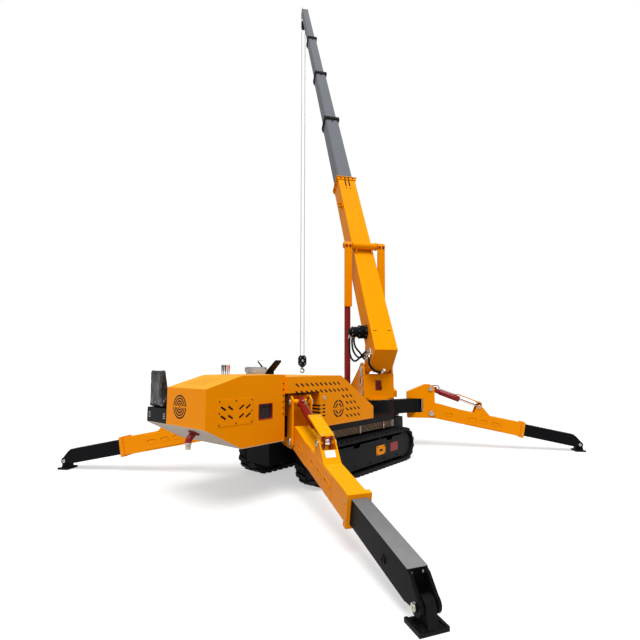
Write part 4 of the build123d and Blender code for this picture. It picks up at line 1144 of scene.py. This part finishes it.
def lever_fittings():
    """Knobs, gaiters and base plate of the control levers."""
    levers = measured("controls", machine_frame, lambda p: p.x < lever_front)
    top = max(point.z for point in levers)
    low = min(point.z for point in levers)
    x = sum(point.x for point in levers) / len(levers)
    first = min(point.y for point in levers) + lever_radius
    last = max(point.y for point in levers) - lever_radius
    knobs = {"plastic": Piece(), "red_plastic": Piece(), "yellow_plastic": Piece()}
    gaiter = [(0.019 - 0.0024 * step + (0.003 if step % 2 else 0.0), 0.008 * step) for step in range(6)]
    for y, colour in zip(evenly(first, last, lever_count), lever_colours):
        knobs[colour].turn(Matrix.Translation((x, y, top - knob_drop)), lever_knob, 20)
        knobs["plastic"].turn(Matrix.Translation((x, y, low)), gaiter, 20)
    base = Matrix.Translation((x, (first + last) / 2, low))
    knobs["plastic"].plate(base, centred(0.045, (last - first) / 2 + 0.035, 0.012), 0.004)
    for kind, piece in knobs.items():
        piece.make("lever_knobs_" + kind, kind, "chassis")


def rest_light_and_shade():
    """Painted light on the left prong of the boom rest, a white plate on its lit face; painted shade on the right
    one, a black plate on its shaded face.
    """
    prongs = measured("controls", machine_frame, lambda p: p.x > lever_front)
    rear, front = min(point.x for point in prongs), max(point.x for point in prongs)
    top = max(point.z for point in prongs)
    foot = Vector((0.0, 0.0, min(point.z for point in prongs) + rest_rise))
    # Painted light and shade: white on the lit prong, black on the shaded one.
    for side, kind in ((1, "white"), (-1, "black")):
        run = Vector((0.0, side * max(abs(point.y) for point in prongs), top)) - foot
        up = Vector((1.0, 0.0, 0.0)).cross(run) * side
        place = facing(machine_frame, foot + run * 0.52 + Vector(((rear + front) / 2, 0.0, 0.0)), up)
        half = run.length * 0.44
        painted_shading = Piece()
        painted_shading.plate(place, centred((front - rear) / 2 - 0.004, half, 0.006), rest_shading_thickness)
        for y in (-0.7, 0.0, 0.7):
            painted_shading.bolt(moved(place, 0.0, y * half, rest_shading_thickness), bolt_small * 0.7)
        painted_shading.make("rest_light_and_shade_" + side_names[side], kind, "chassis")


def box_fittings():
    """Lid, screws and feet of the flat box on the hood."""
    low, high = extent("top_box", machine_frame)
    middle = (low + high) / 2
    lid = above(machine_frame, middle.x, middle.y, high.z)
    half_x, half_y = (high.x - low.x) / 2 - lid_inset, (high.y - low.y) / 2 - lid_inset
    piece = Piece()
    piece.plate(lid, centred(half_x, half_y, 0.012), lid_height, 0.003)
    piece.corner_bolts(raised(lid, lid_height), half_x * 0.84, half_y * 0.84, bolt_small * 0.7)
    for x, way in ((low.x, -1), (high.x, 1)):
        for y in (low.y + lid_ear_inset, high.y - lid_ear_inset):
            ear = above(machine_frame, x - way * 0.004, y, low.z)
            piece.plate(ear, centred(lid_ear, lid_ear, 0.004), 0.004, 0.001)
            piece.bolt(moved(ear, way * 0.002, 0, 0.004), bolt_small * 0.8)
    piece.make("top_box_lid", "silver", "chassis")


track_covers()
pipe_fittings()
hood_fittings()
cabinet_screws()
cabinet_latch()
cabinet_painted_shade()
base_marks()
lever_fittings()
rest_light_and_shade()
box_fittings()


# Turret, luffing gear, boom and hook. A pin is (radius, height), a keeper (half length, half width).

ring_radius = 0.365
ring_bolts = 28
cheek_face = 0.285
turret_rear = -0.300
turret_floor = 1.050
turret_top = 1.450
boom_pin = (0.060, 0.016)
luff_pin = (0.046, 0.012)
boom_keeper = (0.055, 0.022)
boom_keeper_drop = 0.10
rear_keeper = (0.06, 0.024)
rear_keeper_inset = 0.07
rear_keeper_heights = (1.12, 1.32)
keeper_bolt = bolt_large * 0.8
cheek_slot = (-0.10, 1.33)
cheek_slot_bolt = 0.075
gusset = ((-0.09, 0.0), (0.09, 0.0), (0.02, 0.16), (-0.02, 0.16))
gusset_inset = 0.030
valve_at = (-0.19, 0.015)
valve_half = (0.05, 0.075)
valve_height = 0.32
spool = ((0.017, 0.0), (0.017, 0.035), (0.013, 0.042))
spool_side = 0.024
spool_rise = 0.20
slew_motor_along = 0.30
slew_motor_body = ((0.100, 0.0), (0.100, 0.020), (0.078, 0.026), (0.074, 0.130), (0.088, 0.136), (0.088, 0.156),
                   (0.060, 0.162), (0.056, 0.270), (0.048, 0.280))
slew_motor_bolts = 0.088
slew_hose_radius = 0.010
slew_hose_run = ((0.04, 0.250, 1.18), (0.02, 0.20, 1.20), (-0.03, 0.13, 1.19), (-0.08, 0.08, 1.13),
                 (-0.10, 0.06, 1.065))

luff_side = 0.354
luff_barrel = 0.062
luff_gland = ((0.040, 0.0), (0.060, 0.002), (0.066, 0.008), (0.066, 0.06), (luff_barrel, 0.066))
luff_base_ring = ((luff_barrel, -0.006), (0.067, 0.0), (0.067, 0.03), (luff_barrel, 0.036))
luff_clip = ((luff_barrel, -0.011), (0.0645, -0.010), (0.0645, 0.010), (luff_barrel, 0.011))
luff_base_along = 0.16
luff_clips_along = (0.7, 1.2)
luff_port_along = 0.24
luff_port_inset = 0.10
luff_port_nut = ((0.016, 0.0), (0.016, 0.012), (0.012, 0.016), (0.009, 0.018))
luff_line_radius = 0.008
luff_hose_radius = 0.010
yoke_radius = 0.072
yoke_pin = (0.052, 0.016)
guard_screw_side = 0.045
guard_mark_side = 0.04

boom_half = 0.210
boom_high = 0.644
boom_deep = 0.500
boom_corner = 0.090
corner_growth = 0.586
collar_wall = 0.022
flange_wall = 0.020
side_bracket_back = 0.95
side_bracket_drop = 0.10
side_bracket_half = (0.075, 0.05)
side_bracket_ear = ((0.0, -0.05), (0.09, -0.02), (0.09, 0.02), (0.0, 0.05))
yoke_disc = ((yoke_radius, 0.0), (0.086, 0.003), (0.086, 0.020), (yoke_radius, 0.024))
yoke_disc_side = 0.24
# Pad slots: start and end back from the mouth, and height over the upper face.
pad_slots = ((0.085, 0.022, collar_wall), (0.33, 0.095, 0.0), (0.42, 0.385, 0.0))
pad_slot_side = 0.045
pad_bolt_back = 0.055
pad_bolt_drops = (0.08, 0.20, 0.32)
pad_bolt_side = 0.15
tail_mark = 0.42
tail_top = 0.015
tail_foot = -0.126
heel_ring = ((0.094, -0.004), (0.094, 0.006), (0.088, 0.010), (0.060, 0.010), (0.056, 0.002))

winch_at = (0.555, 0.394)
# Flanges: share of the reach and radius. Ports: share of the reach and height from the axis.
winch_flanges = ((0.0, 0.134), (0.4, 0.126), (0.8, 0.102))
winch_rib = ((0.117, 0.0), (0.123, 0.003), (0.123, 0.009), (0.117, 0.012))
winch_ribs = (0.16, 0.24, 0.32)
winch_end = ((0.052, -0.004), (0.052, 0.010), (0.046, 0.016))
winch_ports = ((0.60, -0.088), (0.72, -0.090), (0.90, -0.054))
winch_port = ((0.020, -0.012), (0.020, 0.018), (0.016, 0.022), (0.014, 0.030))
winch_port_back = 0.02
winch_hose_ends = ((0.06, 0.30), (0.10, 0.36), (0.14, 0.42))
winch_hose_radius = 0.018
winch_hose_sag = 0.05
manifold_at = (0.10, 0.36)
manifold_height = 0.024
tail_hose_radius = 0.020
manifold_face = boom_half + manifold_height
tail_hose_run = ((0.06, manifold_face, 0.40), (-0.02, boom_half + 0.05, 0.41), (-0.11, boom_half + 0.03, 0.33),
                 (-0.172, 0.12, 0.225), (-0.178, 0.0, 0.185), (-0.140, -0.06, 0.200))

band_length = 0.13
band_wall = 0.012
band_seat = 0.004
band_bolt_rise = 0.06
sheave_side = 0.07
sheave_half = 0.012
sheave_flange = ((0.130, 0.0), (0.148, 0.003), (0.148, 0.008), (0.060, 0.010), (0.050, 0.016))
head_pin = (0.032, 0.012)
head_bolts = ((-0.12, 0.12), (-0.12, 0.22), (0.02, 0.20))
head_guards = ((-0.10, 0.15), (0.02, 0.18))
head_guard_radius = 0.012
limit_ring = ((0.020, 0.0), (0.096, 0.004), (0.098, 0.020), (0.098, 0.10), (0.092, 0.108), (0.020, 0.112))
limit_drops = (0.22, 0.38)
limit_ahead = 0.127
limit_chain = (0.10, 0.46)
limit_chain_side = 0.085
rope_radius = 0.007
hook_cheek_half = (0.11, 0.14)
hook_cheek_drop = 0.20
hook_cheek_thickness = 0.012
hook_axle = (0.040, 0.014)
hook_bolts = (0.085, 0.11)
hook_swivel_nut = ((0.052, 0.0), (0.052, 0.034), (0.046, 0.040), (0.036, 0.050))
hook_swivel_drop = 0.49
hook_latch_outline = ((-0.045, -0.006), (0.004, -0.075), (0.016, -0.07), (-0.03, 0.01))
hook_latch_side = 0.062
hook_latch_rise = 0.165
hook_latch_width = 0.020


def keeper(piece, place, half_length, half_width):
    """A keeper plate with a bolt near each end."""
    thick = half_width * 0.6
    piece.plate(place, centred(half_length, half_width, half_width * 0.5), thick)
    for x in (-0.62 * half_length, 0.62 * half_length):
        piece.bolt(moved(place, x, 0, thick), keeper_bolt)


def slew_bolts():
    """Bolts round the slewing ring."""
    ring = Piece()
    ring.bolt_circle(machine_frame, ring_radius, ring_bolts, bolt_small, extent("turret", machine_frame)[0].z)
    ring.make("slew_bolts", "zinc", "chassis")


def turret_pins():
    """Pin ends and keepers on the turret's cheeks, and the bolted slot of the left one, whose dark inside is painted
    shade: a thin black plate.
    """
    pivot = turret_frame.inverted() @ boom_frame.translation
    base = turret_frame.inverted() @ luff_frame.translation
    reach = extent("turret", turret_frame)[1].y
    caps = Piece()
    for side in sides:
        face = side * cheek_face
        caps.pin_end(flank(turret_frame, side, pivot.x, face, pivot.z), *boom_pin)
        keeper(caps, flank(turret_frame, side, pivot.x, face, pivot.z - boom_keeper_drop), *boom_keeper)
        caps.pin_end(flank(turret_frame, side, base.x, side * reach, base.z), *luff_pin)
        for z in rear_keeper_heights:
            rear = facing(turret_frame, (turret_rear + rear_keeper_inset, face, z), (0, side, 0), (0, 0, 1))
            keeper(caps, rear, *rear_keeper)
    slot = facing(turret_frame, (cheek_slot[0], cheek_face, cheek_slot[1]), (0, 1, 0), (0, 0, 1))
    for x in (cheek_slot_bolt, -cheek_slot_bolt):
        caps.bolt(moved(slot, x, 0.0), bolt_large)
    caps.make("turret_pins", "zinc", "turret")
    # Painted shade: a thin black plate for the dark inside of the slot.
    slot_shade = Piece()
    slot_shade.plate(slot, centred(0.05, 0.018, 0.017), *inlay)
    slot_shade.make("turret_slot", "black", "turret")


def turret_flange():
    """Top flange, gussets and rear weld beads of the turret."""
    flange = Piece()
    width = cheek_face + 0.008
    top = above(turret_frame, turret_rear + 0.015, 0, turret_top)
    flange.plate(top, rectangle(-0.022, 0.030, -width, width, 0.006), 0.010)
    for side in sides:
        foot = (0.02, side * (cheek_face - gusset_inset), turret_floor)
        flange.plate(facing(turret_frame, foot, (0, -side, 0)), gusset, 0.014)
        flange.weld(turret_frame, [(turret_rear - 0.002, side * cheek_face, z) for z in (turret_floor, turret_top)])
    flange.make("turret_flange", "yellow", "turret")


def turret_valve():
    """Valve block with two spools behind the turret's window."""
    block = Piece()
    x, y = valve_at
    block.plate(above(turret_frame, x, y, turret_floor), centred(*valve_half, 0.006), valve_height, 0.004)
    for across in (-spool_side, spool_side):
        end = (x - valve_half[0], y + across, turret_floor + spool_rise)
        block.turn(facing(turret_frame, end, (-1, 0, 0), (0, 1, 0)), spool, 16)
    block.make("turret_valve", "red", "turret")


def slew_motor():
    """Slew motor with its bolts, and the two hoses to it."""
    motor = Piece()
    post = moved(turret_frame, slew_motor_along, 0.0, turret_floor)
    motor.turn(post, slew_motor_body, 36)
    motor.bolt_circle(post, slew_motor_bolts, 8, bolt_small, 0.020)
    motor.make("slew_motor", "black", "turret")
    for side, name in side_names.items():
        run = [(x, side * y, z) for x, y, z in slew_hose_run]
        hose("slew_hose_" + name, turret_frame, run, slew_hose_radius, "turret")


def luff_fittings():
    """Glands, ports, hard lines and hoses of the luffing barrels, eye caps and guard screws of their rods."""
    rod_high = extent("luff_rods", luff_frame)[1]
    eye = rod_high.x - yoke_radius
    end = extent("luff_barrels", luff_frame)[1].x
    guard_low, guard_high = extent("luff_guards", luff_frame)
    rings, lines, caps, screws, marks = (Piece() for _ in range(5))
    for side, name in side_names.items():
        y = side * luff_side
        rows = ((end, luff_gland), (luff_base_along, luff_base_ring), *((x, luff_clip) for x in luff_clips_along))
        for x, ring in rows:
            rings.turn(facing(luff_frame, (x, y, 0), (-1, 0, 0), (0, 1, 0)), ring, 36, closed=False)
        for x in (luff_port_along, end - luff_port_inset):
            port = facing(luff_frame, (x, y, -luff_barrel + 0.008), (0, 0, -1))
            rings.plate(port, centred(0.026, 0.024, 0.005), 0.020)
            lines.turn(raised(port, 0.020), luff_port_nut, 6)
        low = -luff_barrel - 0.022
        run = [(0.30, y, -luff_barrel), (0.30, y, low + 0.006), (0.36, y, low), (end - 0.20, y, low),
               (end - 0.13, y, low), (end - luff_port_inset, y, low - 0.002)]
        lines.tube([luff_frame @ point for point in curve_through(run, 6)], luff_line_radius)
        caps.pin_end(flank(luff_frame, side, eye, side * rod_high.y, 0), *yoke_pin)
        caps.bolt(above(luff_frame, eye - 0.02, y, yoke_radius - 0.004), bolt_small)
        for x in (guard_high.x - 0.16, guard_low.x + 0.04, (guard_low.x + guard_high.x) / 2):
            for across in (-guard_screw_side, guard_screw_side):
                screws.bolt(above(luff_frame, x, y + across, guard_high.z), bolt_small)
        for across in (-guard_mark_side, guard_mark_side):
            mark = above(luff_frame, guard_high.x - 0.03, y + across, guard_high.z)
            marks.plate(mark, centred(0.028, 0.022, 0.006), 0.010)
        hose("luff_hose_" + name, luff_frame,
             [(luff_port_along, y, -luff_barrel - 0.018), (luff_port_along, y, -luff_barrel - 0.07),
              (0.19, y + side * 0.02, -luff_barrel - 0.10), (0.10, y + side * 0.04, -luff_barrel - 0.085),
              (0.05, y + side * 0.07, -0.06), (0.09, y + side * 0.068, 0.0)], luff_hose_radius, "luff_barrel")
    rings.make("luff_rings", "red", "luff_barrel")
    lines.make("luff_lines", "zinc", "luff_barrel")
    caps.make("luff_caps", "yellow", "luff_rod")
    marks.make("luff_guard_marks", "red", "luff_rod")
    screws.make("luff_guard_screws", "yellow", "luff_rod")


def section_ring(half, low, high, cut, by, x):
    """A section's outline across the boom at one station, grown by a distance."""
    w, top, foot, c = half + by, high + by, low - by, cut + by * corner_growth
    outline = ((-w, top), (w, top), (w, foot + c), (w - c, foot), (c - w, foot), (-w, foot + c))
    return [boom_frame @ Vector((x, y, z)) for y, z in outline]


def base_flanges(mouth):
    """Mouth flange and side bracket of the base section, and the discs beside its yoke."""
    flange = Piece()
    base = (boom_half, boom_high - boom_deep, boom_high, boom_corner)
    outer = collar_wall + flange_wall
    start, end = mouth - 0.018, mouth - 0.002
    stations = ((0.0, start), (outer, start), (outer, end), (0.0, end))
    flange.skin([section_ring(*base, by, x) for by, x in stations], closed=False)
    x, z = mouth - side_bracket_back, boom_high - side_bracket_drop
    half_x, half_z = side_bracket_half
    flange.plate(flank(boom_frame, 1, x, boom_half, z), centred(half_x, half_z), 0.010)
    for along in (-0.055, 0.055):
        ear = facing(boom_frame, (x + along, boom_half + 0.010, z), (1, 0, 0), (0, 1, 0))
        flange.plate(ear, side_bracket_ear, 0.010)
    eye = extent("luff_rods", luff_frame)[1].x - yoke_radius
    yoke = boom_frame.inverted() @ (luff_frame @ Vector((eye, 0, 0)))
    for side in sides:
        flange.turn(flank(boom_frame, side, yoke.x, side * yoke_disc_side, yoke.z), yoke_disc, 36)
    flange.make("boom_flanges", "yellow", "boom")


def base_pads(mouth):
    """Dark pad slots, marks and pad bolts of the base section's mouth."""
    pads = Piece()
    for y in (-pad_slot_side, pad_slot_side):
        for start, end, lift in pad_slots:
            x0, x1 = mouth - start, mouth - end
            slot = above(boom_frame, (x0 + x1) / 2, y, boom_high + lift)
            pads.plate(slot, centred((x1 - x0) / 2, 0.016, 0.008), *inlay)
        pads.plate(above(boom_frame, tail_mark, 3 * y, boom_high), centred(0.006, 0.035), *inlay)
    x = mouth - pad_bolt_back
    for side in sides:
        for drop in pad_bolt_drops:
            pads.bolt(flank(boom_frame, side, x, side * (boom_half + collar_wall), boom_high - drop), bolt_large)
    for y in (-pad_bolt_side, pad_bolt_side):
        pads.bolt(above(boom_frame, x, y, boom_high + collar_wall), bolt_large)
    pads.make("boom_pads", "black", "boom")


def base_tail():
    """Weld beads and heel rings of the base section's tail."""
    tail = Piece()
    for side in sides:
        y = side * (boom_half - 0.002)
        tail.weld(boom_frame, ((tail_top, y, boom_high - 0.002), (tail_foot, y, boom_high - boom_deep + boom_corner)))
        tail.turn(flank(boom_frame, side, 0.0, side * boom_half, 0.0), heel_ring, 36)
    tail.make("boom_tail_welds", "yellow", "boom")


def winch_fittings():
    """Flanges, ribs, bolts, ports and hoses of the winch motor, and the manifold that they run to."""
    x, z = winch_at
    reach = extent("winch", boom_frame)[1].y
    span = reach - boom_half
    body = Piece()
    ports = Piece()
    for share, radius in winch_flanges:
        disc = flank(boom_frame, 1, x, boom_half + span * share, z)
        body.turn(disc, ((radius * 0.7, -0.002), (radius, 0.0), (radius, 0.016), (radius * 0.94, 0.020),
                         (radius * 0.7, 0.020)), 40)
        ports.bolt_circle(disc, radius * 0.87, 8, bolt_small * 0.9, 0.019, 0.5)
    for share in winch_ribs:
        body.turn(flank(boom_frame, 1, x, boom_half + span * share, z), winch_rib, 40)
    body.turn(flank(boom_frame, 1, x, reach, z), winch_end, 30)
    port_x = x - winch_port_back
    starts = [(boom_half + span * share, z + drop) for share, drop in winch_ports]
    for y, height in starts:
        ports.turn(facing(boom_frame, (port_x, y, height), (0, 0, -1)), winch_port, 6)
    body.make("winch_flanges", "black", "boom")
    ports.make("winch_bolts", "zinc", "boom")
    for index, ((y, height), (end_x, end_z)) in enumerate(zip(starts, winch_hose_ends)):
        sag = winch_hose_sag * index
        hose("winch_hose_%d" % (index + 1), boom_frame,
             [(port_x, y, height - 0.03), (x - 0.05, y, height - 0.10), (x - 0.16 - sag, y - 0.03, z - 0.26 - sag),
              (x - 0.32 - sag, y - 0.10, z - 0.24 - sag), (end_x + 0.03, manifold_face + 0.03, end_z - 0.10),
              (end_x, manifold_face, end_z)], winch_hose_radius, "boom")
    manifold = Piece()
    place = flank(boom_frame, 1, manifold_at[0], boom_half, manifold_at[1])
    manifold.plate(place, rectangle(-0.07, 0.08, -0.09, 0.09, 0.01), manifold_height, 0.003)
    manifold.make("boom_manifold", "zinc", "boom")
    hose("tail_hose", boom_frame, tail_hose_run, tail_hose_radius, "boom")


def section_bands():
    """Dark bands round the mouths of the inner sections, with their pad bolts."""
    for number in (2, 3, 4):
        node = "boom_section_%d" % number
        mouth = extent(node, boom_frame)[1].x
        tip = measured(node, boom_frame, lambda p: p.x > mouth - 0.05)
        half = max(p.y for p in tip)
        low, high = min(p.z for p in tip), max(p.z for p in tip)
        shape = (half, low, high, half * boom_corner / boom_half)
        start, end = mouth - band_length, mouth - band_seat
        stations = ((-band_seat, start), (band_wall, start), (band_wall, end), (-band_seat, end))
        piece = Piece()
        piece.skin([section_ring(*shape, by, x) for by, x in stations], closed=False)
        x = mouth - band_length / 2
        middle = (low + high) / 2
        for side in sides:
            for z in (middle - band_bolt_rise, middle + band_bolt_rise):
                piece.bolt(flank(boom_frame, side, x, side * (half + band_wall), z), bolt_large)
            piece.bolt(above(boom_frame, x, side * half * 0.45, high + band_wall), bolt_large)
        behind = measured(node, boom_frame, lambda p: p.x < mouth - collar_length - 0.001)
        slot = above(boom_frame, start - 0.06, 0, max(p.z for p in behind))
        piece.plate(slot, centred(0.05, 0.014, 0.008), *inlay)
        piece.make("section_band_%d" % number, "black", "boom_%d" % number)


def head_fittings():
    """Sheave flanges, pins and rope guards of the boom head."""
    reach = extent("boom_head", boom_frame)[1].y
    hang = boom_frame.inverted() @ Vector(joints["rope_hang"]["pos_m"])
    sheaves = Piece()
    pins = Piece()
    for y in (-sheave_side, sheave_side):
        for side in sides:
            sheaves.turn(flank(boom_frame, side, hang.x, y + side * sheave_half, hang.z), sheave_flange, 48)
    for side in sides:
        pins.pin_end(flank(boom_frame, side, hang.x, side * reach, hang.z), *head_pin)
        for x, z in head_bolts:
            pins.bolt(flank(boom_frame, side, hang.x + x, side * reach, hang.z + z), bolt_large)
    for x, z in head_guards:
        run = [boom_frame @ Vector((hang.x + x, y, hang.z + z)) for y in (-reach, reach)]
        pins.tube(run, head_guard_radius, 12)
    sheaves.make("head_sheaves", "black", "boom_5")
    pins.make("head_pins", "zinc", "boom_5")


def limit_weight():
    """The limit weight round the falls, on its two chains."""
    weight = Piece()
    turn = turret_frame.to_3x3()
    middle = Vector(joints["rope_hang"]["pos_m"]) + turn @ Vector((limit_ahead, 0.0, 0.0))
    for drop in limit_drops:
        weight.turn(Matrix.Translation(middle - Vector((0, 0, drop + 0.14))), limit_ring, 28)
    for side in sides:
        chain = middle + turn @ Vector((0.0, side * limit_chain_side, 0.0))
        weight.tube([chain - Vector((0, 0, drop)) for drop in limit_chain], 0.005, 8)
    weight.make("limit_weight", "black", "rope")


def hoist_falls():
    """The falls of the hoist rope, as straight tubes up from the rope's lowest point, in place of the rope."""
    low, high = extent("hoist_rope", turret_frame)
    falls = Piece()
    for x in (low.x + rope_radius, high.x - rope_radius):
        fall = measured("hoist_rope", turret_frame, lambda p: abs(p.x - x) < 2 * rope_radius)
        top = max(point.z for point in fall)
        for y in (low.y + rope_radius, high.y - rope_radius):
            falls.tube([turret_frame @ Vector((x, y, z)) for z in (low.z, top)], rope_radius, 12)
    rope = falls.placed("hoist_falls", "rope")
    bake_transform(rope)
    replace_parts(rope, "hoist_rope")


def hook_fittings():
    """Cheek plates, axle, swivel nut and latch of the hook block."""
    low, high = extent("hook_block", turret_frame)
    middle = (low + high) / 2
    plates = Piece()
    pins = Piece()
    for side, x in ((-1, low.x), (1, high.x)):
        face = facing(turret_frame, (x, middle.y, high.z - hook_cheek_drop), (side, 0, 0), (0, 1, 0))
        plates.plate(face, centred(*hook_cheek_half, 0.05), hook_cheek_thickness)
        pins.pin_end(raised(face, hook_cheek_thickness), *hook_axle)
        pins.corner_bolts(raised(face, hook_cheek_thickness), *hook_bolts, bolt_large)
    plates.make("hook_cheeks", "black", "hook")
    pins.turn(moved(turret_frame, middle.x, middle.y, high.z - hook_swivel_drop), hook_swivel_nut, 8)
    pins.make("hook_pins", "zinc", "hook")
    latch = Piece()
    at = (middle.x, middle.y + hook_latch_side, low.z + hook_latch_rise)
    place = raised(facing(turret_frame, at, (1, 0, 0), (0, 1, 0)), -hook_latch_width / 2)
    latch.plate(place, hook_latch_outline, hook_latch_width)
    latch.make("hook_latch", "zinc", "hook")


base_mouth = extent("boom_base", boom_frame)[1].x
slew_bolts()
turret_pins()
turret_flange()
turret_valve()
slew_motor()
luff_fittings()
base_flanges(base_mouth)
base_pads(base_mouth)
base_tail()
winch_fittings()
section_bands()
head_fittings()
limit_weight()
hoist_falls()
hook_fittings()


# Seat

seat_low, seat_high = extent("seat", machine_frame)
cushion_top = 1.210
back_foot = 0.120
back_head = 0.055
back_corner = 0.015
pad_corner = 0.02
hinge_box = (-0.045, 0.035, -0.07, 0.12)
hinge_rise = 0.02
hinge_bolts = (-0.04, 0.03, 0.10)
hinge_thickness = 0.004
pad_gap = 0.004
pad_draw = 0.006
pad_voxel = 0.006
pad_pressure = 4.0
pad_frames = 20
pad_cap = 0.012


def applied(piece):
    """A piece's mesh as its modifiers leave it; the modifiers are then taken off."""
    graph = bpy.context.evaluated_depsgraph_get()
    mesh = bpy.data.meshes.new_from_object(piece.evaluated_get(graph))
    piece.modifiers.clear()
    piece.data = mesh
    return mesh


def filled(piece):
    """Cloth pressure swells the piece, and each point moves no further than the cap."""
    remesh = piece.modifiers.new("remesh", "REMESH")
    remesh.mode = "VOXEL"
    remesh.voxel_size = pad_voxel
    start = [vertex.co.copy() for vertex in applied(piece).vertices]
    cloth = piece.modifiers.new("cloth", "CLOTH")
    cloth.settings.use_pressure = True
    cloth.settings.uniform_pressure_force = pad_pressure
    cloth.settings.effector_weights.gravity = 0.0
    for step in range(1, pad_frames + 1):
        bpy.context.scene.frame_set(step)
    mesh = applied(piece)
    for vertex, old in zip(mesh.vertices, start):
        move = vertex.co - old
        vertex.co = old + move * min(1.0, pad_cap / max(move.length, 1e-9))
    bpy.context.scene.frame_set(1)
    piece.modifiers.new("fine", "SUBSURF").levels = 1
    applied(piece).polygons.foreach_set("use_smooth", [True] * len(piece.data.polygons))


def pad(name, outline):
    """A seat pad from its outline seen from the side."""
    shell = Piece()
    ends = (seat_low.y + pad_draw, seat_high.y - pad_draw)
    shell.skin([[Vector((x, y, z)) for x, z in drawn_in(outline, pad_draw)] for y in ends])
    piece = shell.placed(name, "vinyl")
    filled(piece)
    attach(piece, "chassis")
    return piece


def make_seat():
    """Cushion and backrest, and the hinge plates between them."""
    foot = seat_low.x + back_foot
    cushion = [(foot + pad_gap, seat_low.z), (seat_high.x, seat_low.z), (seat_high.x, cushion_top - pad_corner),
               (seat_high.x - pad_corner, cushion_top), (foot + pad_gap, cushion_top)]
    head = seat_low.x + back_head
    back = [(seat_low.x, seat_low.z), (foot, seat_low.z), (foot, cushion_top), (head, seat_high.z - pad_corner),
            (head - back_corner, seat_high.z), (seat_low.x + back_corner, seat_high.z),
            (seat_low.x, seat_high.z - pad_corner)]
    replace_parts(pad("seat_cushion", cushion), "seat")
    pad("seat_backrest", back)
    plates = Piece()
    for side, y in ((-1, seat_low.y), (1, seat_high.y)):
        hinge = upright(side, foot, y, cushion_top + hinge_rise)
        plates.plate(hinge, rectangle(*hinge_box, 0.02), hinge_thickness)
        for z in hinge_bolts:
            plates.bolt(moved(hinge, -0.005, z, hinge_thickness), bolt_small * 0.7)
    plates.make("seat_hinges", "black", "chassis")


make_seat()


# Studio

image_width = 640
focal_pixels = 409.18
sensor = 36.0
view_end = 500.0
eye = Vector((-6.621, -4.324, 1.600))
yaw = radians(40.473)
pitch = radians(6.436)
roll = radians(0.053)


def make_camera():
    """The camera where the photo was taken from."""
    forward = Vector((cos(yaw) * cos(pitch), sin(yaw) * cos(pitch), sin(pitch)))
    right = Vector((sin(yaw), -cos(yaw), 0.0))
    up = right.cross(forward)
    turn = Matrix((right, up, -forward)).transposed().to_4x4() @ Matrix.Rotation(-roll, 4, "Z")
    data = bpy.data.cameras.new("camera")
    data.sensor_width = sensor
    data.lens = focal_pixels * sensor / image_width
    data.clip_end = view_end
    camera = bpy.data.objects.new("camera", data)
    camera.matrix_world = Matrix.Translation(eye) @ turn
    bpy.context.scene.collection.objects.link(camera)
    bpy.context.scene.camera = camera


floor_half = 90.0
floor_lift = 0.52
floor_grey = (0.43, 0.43, 0.43)
floor_pale = (0.46, 0.46, 0.46)
sky_light = 0.50
sun_light = 3.4
sun_from = Vector((-0.45, -0.35, 1.0))
sun_size = radians(35)


def make_floor():
    """A pale floor that camera rays see near white, with the shadow on it."""
    mesh = bpy.data.meshes.new("floor")
    ends = (-floor_half, floor_half)
    mesh.from_pydata([(x, y, 0.0) for x in ends for y in ends], [], [(0, 2, 3, 1)])
    floor = bpy.data.objects.new("floor", mesh)
    bpy.context.scene.collection.objects.link(floor)
    finish = Finish("pale_floor", Roughness=0.9, Specular_IOR_Level=0.0)
    seen = finish.add("ShaderNodeLightPath", {}, {}, "Is Camera Ray")
    mirrored = finish.add("ShaderNodeLightPath", {}, {}, "Is Glossy Ray")
    finish.feed(Base_Color=finish.mix(shade(floor_grey), shade(floor_pale), finish.noise(0.3)))
    glow = finish.add("ShaderNodeEmission", {}, {"Color": shade(white), "Strength": floor_lift})
    dark = finish.add("ShaderNodeEmission", {}, {"Strength": 0.0})
    lift = finish.add("ShaderNodeMixShader", {}, {0: (seen + mirrored).clipped(), 1: dark, 2: glow})
    total = finish.add("ShaderNodeAddShader", {}, {0: Value(finish, finish.shader.outputs[0]), 1: lift})
    finish.tree.links.new(total.socket, finish.tree.nodes["Material Output"].inputs["Surface"])
    mesh.materials.append(finish.material)


def make_light():
    """Even sky light, a white backdrop and one broad lamp from above the camera's left."""
    world = bpy.data.worlds.new("studio")
    bpy.context.scene.world = world
    world.use_nodes = True
    tree = world.node_tree
    sky = tree.nodes["Background"]
    sky.inputs["Color"].default_value = shade(white)
    sky.inputs["Strength"].default_value = sky_light
    backdrop = tree.nodes.new("ShaderNodeBackground")
    backdrop.inputs["Color"].default_value = shade(white)
    path = tree.nodes.new("ShaderNodeLightPath")
    pick = tree.nodes.new("ShaderNodeMixShader")
    tree.links.new(path.outputs["Is Camera Ray"], pick.inputs[0])
    tree.links.new(sky.outputs[0], pick.inputs[1])
    tree.links.new(backdrop.outputs[0], pick.inputs[2])
    tree.links.new(pick.outputs[0], tree.nodes["World Output"].inputs["Surface"])
    data = bpy.data.lights.new("key", "SUN")
    data.energy = sun_light
    data.angle = sun_size
    lamp = bpy.data.objects.new("key", data)
    lamp.rotation_euler = sun_from.to_track_quat("Z", "Y").to_euler()
    bpy.context.scene.collection.objects.link(lamp)


make_camera()
make_floor()
make_light()
bpy.context.scene.view_settings.view_transform = "Standard"
